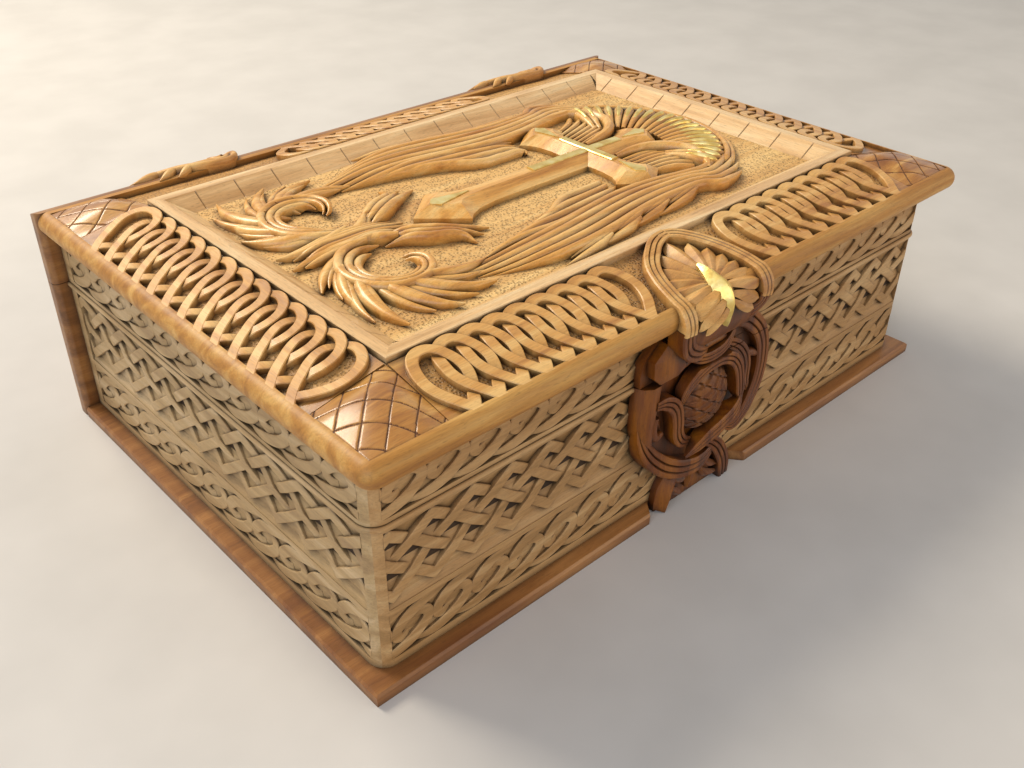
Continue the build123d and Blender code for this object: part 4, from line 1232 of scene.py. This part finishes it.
SHIELD_TOP = [(-38.2, 90.6), (-37.6, 84.0), (-35.4, 81.2), (-29.6, 80.0), (-25.4, 82.2),
              (-25.6, 87.2), (-29.6, 91.2), (-34.2, 93.2)]

DOME_RIM, DOME_RISE, DOME_FOOT, DOME_CUTS = 6.0, 6.4, 2.0, 120
LINE_PITCH, LINE_HALF, LINE_DEPTH, LINE_TILT = 5.6, 0.5, 0.85, radians(-32)
ARC_PITCH, ARC_HALF, ARC_HEIGHT, ARC_U, ARC_V = 4.4, 0.62, 1.3, -14, 34


def across_pitch(at, pitch):
    # distance from the nearest line of a set that many millimetres apart
    return abs((at / pitch - round(at / pitch)) * pitch)


def lattice_dome():
    def dome_at(a, b):
        u, v = a * sqrt(1 - b * b / 2), b * sqrt(1 - a * a / 2)
        far = min(1.0, u * u + v * v)
        rise = DOME_RIM + DOME_RISE * (1 - far) ** 0.75
        u, v = u * BOSS_HALF_U, v * BOSS_HALF_V
        across = -u * sin(LINE_TILT) + v * cos(LINE_TILT)
        swing = hypot(u - ARC_U, v - ARC_V)
        groove = max(0.0, 1 - across_pitch(across, LINE_PITCH) / LINE_HALF)
        ridge = max(0.0, 1 - across_pitch(swing, ARC_PITCH) / ARC_HALF)
        net = (ARC_HEIGHT * ridge - LINE_DEPTH * groove) * min(1.0, 6 * (1 - far))
        return (BOSS_U + u, BOSS_V + v, rise + net)

    cuts = steps(-1, 1, DOME_CUTS)
    return carved_slab("lattice_dome", cuts, cuts, dome_at, DOME_FOOT)


def straps(*rows):
    return [sweep("clasp_strap", [line], knife) for line, knife in rows]


def clasp_half(name, pieces, cuts, body, *replaced):
    # every piece is cut off at the parting and behind the plate before they are joined
    whole = joined(name, parted(pieces, cuts + [((0, 0, STRAP_BACK), (0, 0, -1))]))
    done(whole, shade_dark_clasp_wood, *replaced, place=clasp_face, body=body)


clasp_half(
    "clasp_medallion",
    [stack("plate_low", (CASE_PLATE, PLATE_BACK), (CASE_PLATE, PLATE_OUT))]
    + straps(
        (BROAD_STRAP, round_knife), (BOTTOM_STRAP, grooved_knife), (HOOK_STRAP, grooved_knife),
        (HOOK_CURL, round_knife), (HOLE_LEAF, leaf_knife), (RING_ARC, grooved_knife),
        (RING_LIP, grooved_knife), (LOOP_CHORD, grooved_knife), (LOOP_BRIDGE, round_knife),
        (RIGHT_LOOP, grooved_knife), (LEFT_FOOT_LEAF, leaf_knife),
        (RIGHT_FOOT_STRAP, grooved_knife), *[(curl, leaf_knife) for curl in FOOT_CURLS])
    + [lattice_dome()],
    [((0, CASE_TOP, 0), (0, 1, 0)), ((0, 0, 0), (0, -1, 0))],
    "case", "medallion_lower", "lattice_boss", "foot_leaves")
clasp_half(
    "clasp_crest",
    [stack("plate_high", (LID_PLATE, PLATE_BACK), (LID_PLATE, PLATE_OUT)),
     stack("shield", (SHIELD_LOW, 0.5), (SHIELD_LOW, 7.6), (SHIELD_TOP, 10.2))]
    + straps(
        (RIGHT_LOOP, grooved_knife), (LOOP_CHORD, grooved_knife), (CREST, grooved_knife),
        (CREST_BACK, round_knife), (LEG_LOWER, grooved_knife), (RIGHT_LEG_LOWER, grooved_knife)),
    [((0, LID_BOTTOM, 0), (0, -1, 0))],
    "lid", "medallion_upper")

# --- palmette, arch and bud, bent over the front edge of the cover ---
# v is 0 at the foot of the sloping border; above it the carving lies on the slope and below it
# turns over the edge and hangs in front.
EDGE_BEND = 6.0
SLOPE = atan2(BORDER_RISE, FRONT_WIDTH)
HANG_START = EDGE_BEND * pi / 2


def over_edge(piece):
    for corner in piece.data.vertices:
        u, v, w = corner.co
        if v >= 0:
            y = RIM_FRONT + v * cos(SLOPE) - w * sin(SLOPE)
            z = GROUND_OUTER + v * sin(SLOPE) + w * cos(SLOPE)
        elif v > -HANG_START:
            turn = -v / EDGE_BEND
            y = RIM_FRONT - (EDGE_BEND + w) * sin(turn) - w * sin(SLOPE) * (1 + v / HANG_START)
            z = GROUND_OUTER - EDGE_BEND + (EDGE_BEND + w) * cos(turn)
        else:
            y = RIM_FRONT - EDGE_BEND - w
            z = GROUND_OUTER - EDGE_BEND + (v + HANG_START)
        corner.co = (u, y, z)
    return clean(piece)


ARCH_LEFT = [
    (1.6, 36.8, 4.3, 2.8), (-6, 35.2, 4.4, 3.3), (-14, 30.4, 4.5, 3.5), (-21.5, 23.8, 4.5, 3.5),
    (-26.6, 15.4, 4.6, 3.5), (-30, 5.6, 4.8, 3.5), (-31.8, -2.4, 4.6, 3.5),
    (-33.2, -7.2, 4.5, 3.6),
    (-33.5, -10.2, 4.3, 3.7),
]
ARCH_RIGHT = [
    (-3.6, 37.0, 4.1, 2.2), (3.4, 35.6, 4.3, 3.1), (10, 29.6, 4.4, 3.4), (15.4, 20, 4.5, 3.4),
    (18.6, 9.6, 4.6, 3.4), (19.2, 0.6, 4.7, 3.4), (18.0, -4.8, 4.6, 3.4), (16.6, -10.2, 4.3, 3.5),
]
PETAL_ROOT = (-8.0, 1.0)
PETAL_TIPS = [
    (-2.4, 33.4, 4.6), (-12.2, 28.2, 4.3), (-19.0, 20.6, 4.0), (-23.6, 13.0, 3.7),
    (-26.2, 6.2, 3.4), (-27.6, -0.4, 3.2), (-28.0, -6.4, 3.0), (-26.6, -11.6, 2.8),
    (6.2, 27.4, 3.6), (11.4, 20.8, 3.4), (14.0, 14.0, 3.2), (15.2, 7.4, 3.0), (15.6, 1.2, 2.8),
    (15.0, -4.8, 2.6), (13.0, -10.4, 2.4), (10.0, -14.6, 2.2), (-21.6, -15.6, 2.6),
]
BUD = [
    (-7.2, 12.0, 7.0, 0.9), (-7.4, 8.0, 8.2, 2.3), (-7.8, 3.0, 8.6, 3.6), (-8.2, -1.6, 8.2, 4.7),
    (-8.6, -5.6, 6.8, 5.2), (-8.8, -9.4, 5.1, 4.9), (-9.0, -12.6, 4.6, 3.7),
    (-9.0, -15.4, 3.6, 1.3),
]


def petal(tip_u, tip_v, half):
    root_u, root_v = PETAL_ROOT
    root_v += 0.45 * min(0.0, tip_v)
    return [(root_u + share * (tip_u - root_u), root_v + share * (tip_v - root_v), rise,
             half * wide)
            for share, wide, rise in ((0.1, 0.3, 4.4), (0.35, 0.62, 4.9), (0.6, 0.9, 4.5),
                                      (0.8, 1.0, 3.9), (0.93, 0.72, 3.2), (1.0, 0.12, 2.4))]


arch = sweep("palmette_arch", [ARCH_LEFT, ARCH_RIGHT], grooved_knife)
done(over_edge(arch), lid_wood_x, "clasp_arch")
fan = sweep("palmette_petals", [petal(*tip) for tip in PETAL_TIPS], petal_knife, steps=3)
done(over_edge(fan), lid_wood_x, "palmette", angle=30)
bud = sweep("gilt_drop", [BUD], leaf_knife, steps=5)
done(over_edge(bud), gold, "gilt_bud", slot="gilding", angle=42)
# the core that closes the gap of the front edge behind the petals, dark with the clasp's painted
# shade
core = sweep("clasp_core", [[(-6.5, v, w, half) for v, w, half in (
    (1.5, 0.6, 26.5), (-3, 0.4, 26.5), (-HANG_START, 0.0, 26.5), (-20, -0.6, 26.0),
    (-26, -3.5, 24.0))]], core_knife)
done(over_edge(core), shade_dark_clasp_wood, angle=40)

for knife in (flat_knife, round_knife, grooved_knife, leaf_knife, strip_knife, petal_knife,
              core_knife):
    discard(knife)


# --- stage ---
def pale_floor():
    finish, tree, place = new_finish("pale_floor")
    mottle = node(tree, "TexNoise", {"Vector": place, "Scale": 1000 / 60.0, "Detail": 3.0})
    tone = node(tree, "ValToRGB", {"Fac": mottle.outputs["Fac"]},
                stops=[(0.35, "CFCDC9"), (0.65, "D6D4D0")])
    shader = node(tree, "BsdfPrincipled", {"Base Color": tone.outputs["Color"], "Roughness": 0.8})
    node(tree, "OutputMaterial", {"Surface": shader.outputs[0]})
    bpy.ops.mesh.primitive_plane_add(size=14, location=(0, 0, 0))
    floor = bpy.context.object
    floor.name = "floor"
    floor.data.materials.append(finish)


def lamp(name, place, size, power, colour):
    # a square soft lamp that points at the middle of the casket
    data = bpy.data.lights.new(name, "AREA")
    data.shape = "RECTANGLE"
    data.size = data.size_y = size
    data.energy = power
    data.color = linear(colour)[:3]
    light = added(name, data)
    light.location = place
    light.rotation_mode = "QUATERNION"
    light.rotation_quaternion = (Vector((0, 0, 0.08)) - Vector(place)).to_track_quat("-Z", "Y")


def studio():
    lamp("key", (-0.35, 1.15, 1.25), 0.7, 26, "FFF1DC")
    lamp("fill", (-1.3, -0.7, 0.9), 1.2, 9, "EAF0FF")
    lamp("front", (0.9, -1.4, 0.7), 1.2, 7, "FFE9CF")
    world = bpy.data.worlds.new("studio")
    bpy.context.scene.world = world
    world.use_nodes = True
    tree = world.node_tree
    tree.nodes.clear()
    path = node(tree, "LightPath").outputs
    mirror = node(tree, "Math", {0: path["Is Camera Ray"], 1: path["Is Glossy Ray"]},
                  operation="MAXIMUM")
    either = node(tree, "Math", {0: mirror.outputs[0], 1: path["Is Transmission Ray"]},
                  operation="MAXIMUM")
    soft = node(tree, "Background", {"Color": linear("FFFFFF"), "Strength": 0.35})
    seen = node(tree, "Background", {"Color": linear("DAD8D4"), "Strength": 0.9})
    mixed = node(tree, "MixShader", {0: either.outputs[0], 1: soft.outputs[0],
                                     2: seen.outputs[0]})
    node(tree, "OutputWorld", {"Surface": mixed.outputs[0]})


CAMERA_PLACE = (-0.3263, -0.3486, 0.3169)
CAMERA_TURN, CAMERA_TILT, CAMERA_ROLL = radians(-42.98), radians(33.84), radians(0.64)


def camera():
    back = Vector((sin(CAMERA_TURN) * cos(CAMERA_TILT), -cos(CAMERA_TURN) * cos(CAMERA_TILT),
                   sin(CAMERA_TILT)))
    right = Vector((0, 0, 1)).cross(back).normalized()
    up = back.cross(right)
    right, up = (right * cos(CAMERA_ROLL) + up * sin(CAMERA_ROLL),
                 up * cos(CAMERA_ROLL) - right * sin(CAMERA_ROLL))
    data = bpy.data.cameras.new("camera")
    data.lens, data.sensor_width = 36.74, 36.0
    view = added("camera", data)
    view.matrix_world = (Matrix.Translation(CAMERA_PLACE)
                         @ Matrix((right, up, back)).transposed().to_4x4())
    bpy.context.scene.camera = view


pale_floor()
studio()
camera()
bpy.context.scene.view_settings.view_transform = "Standard"
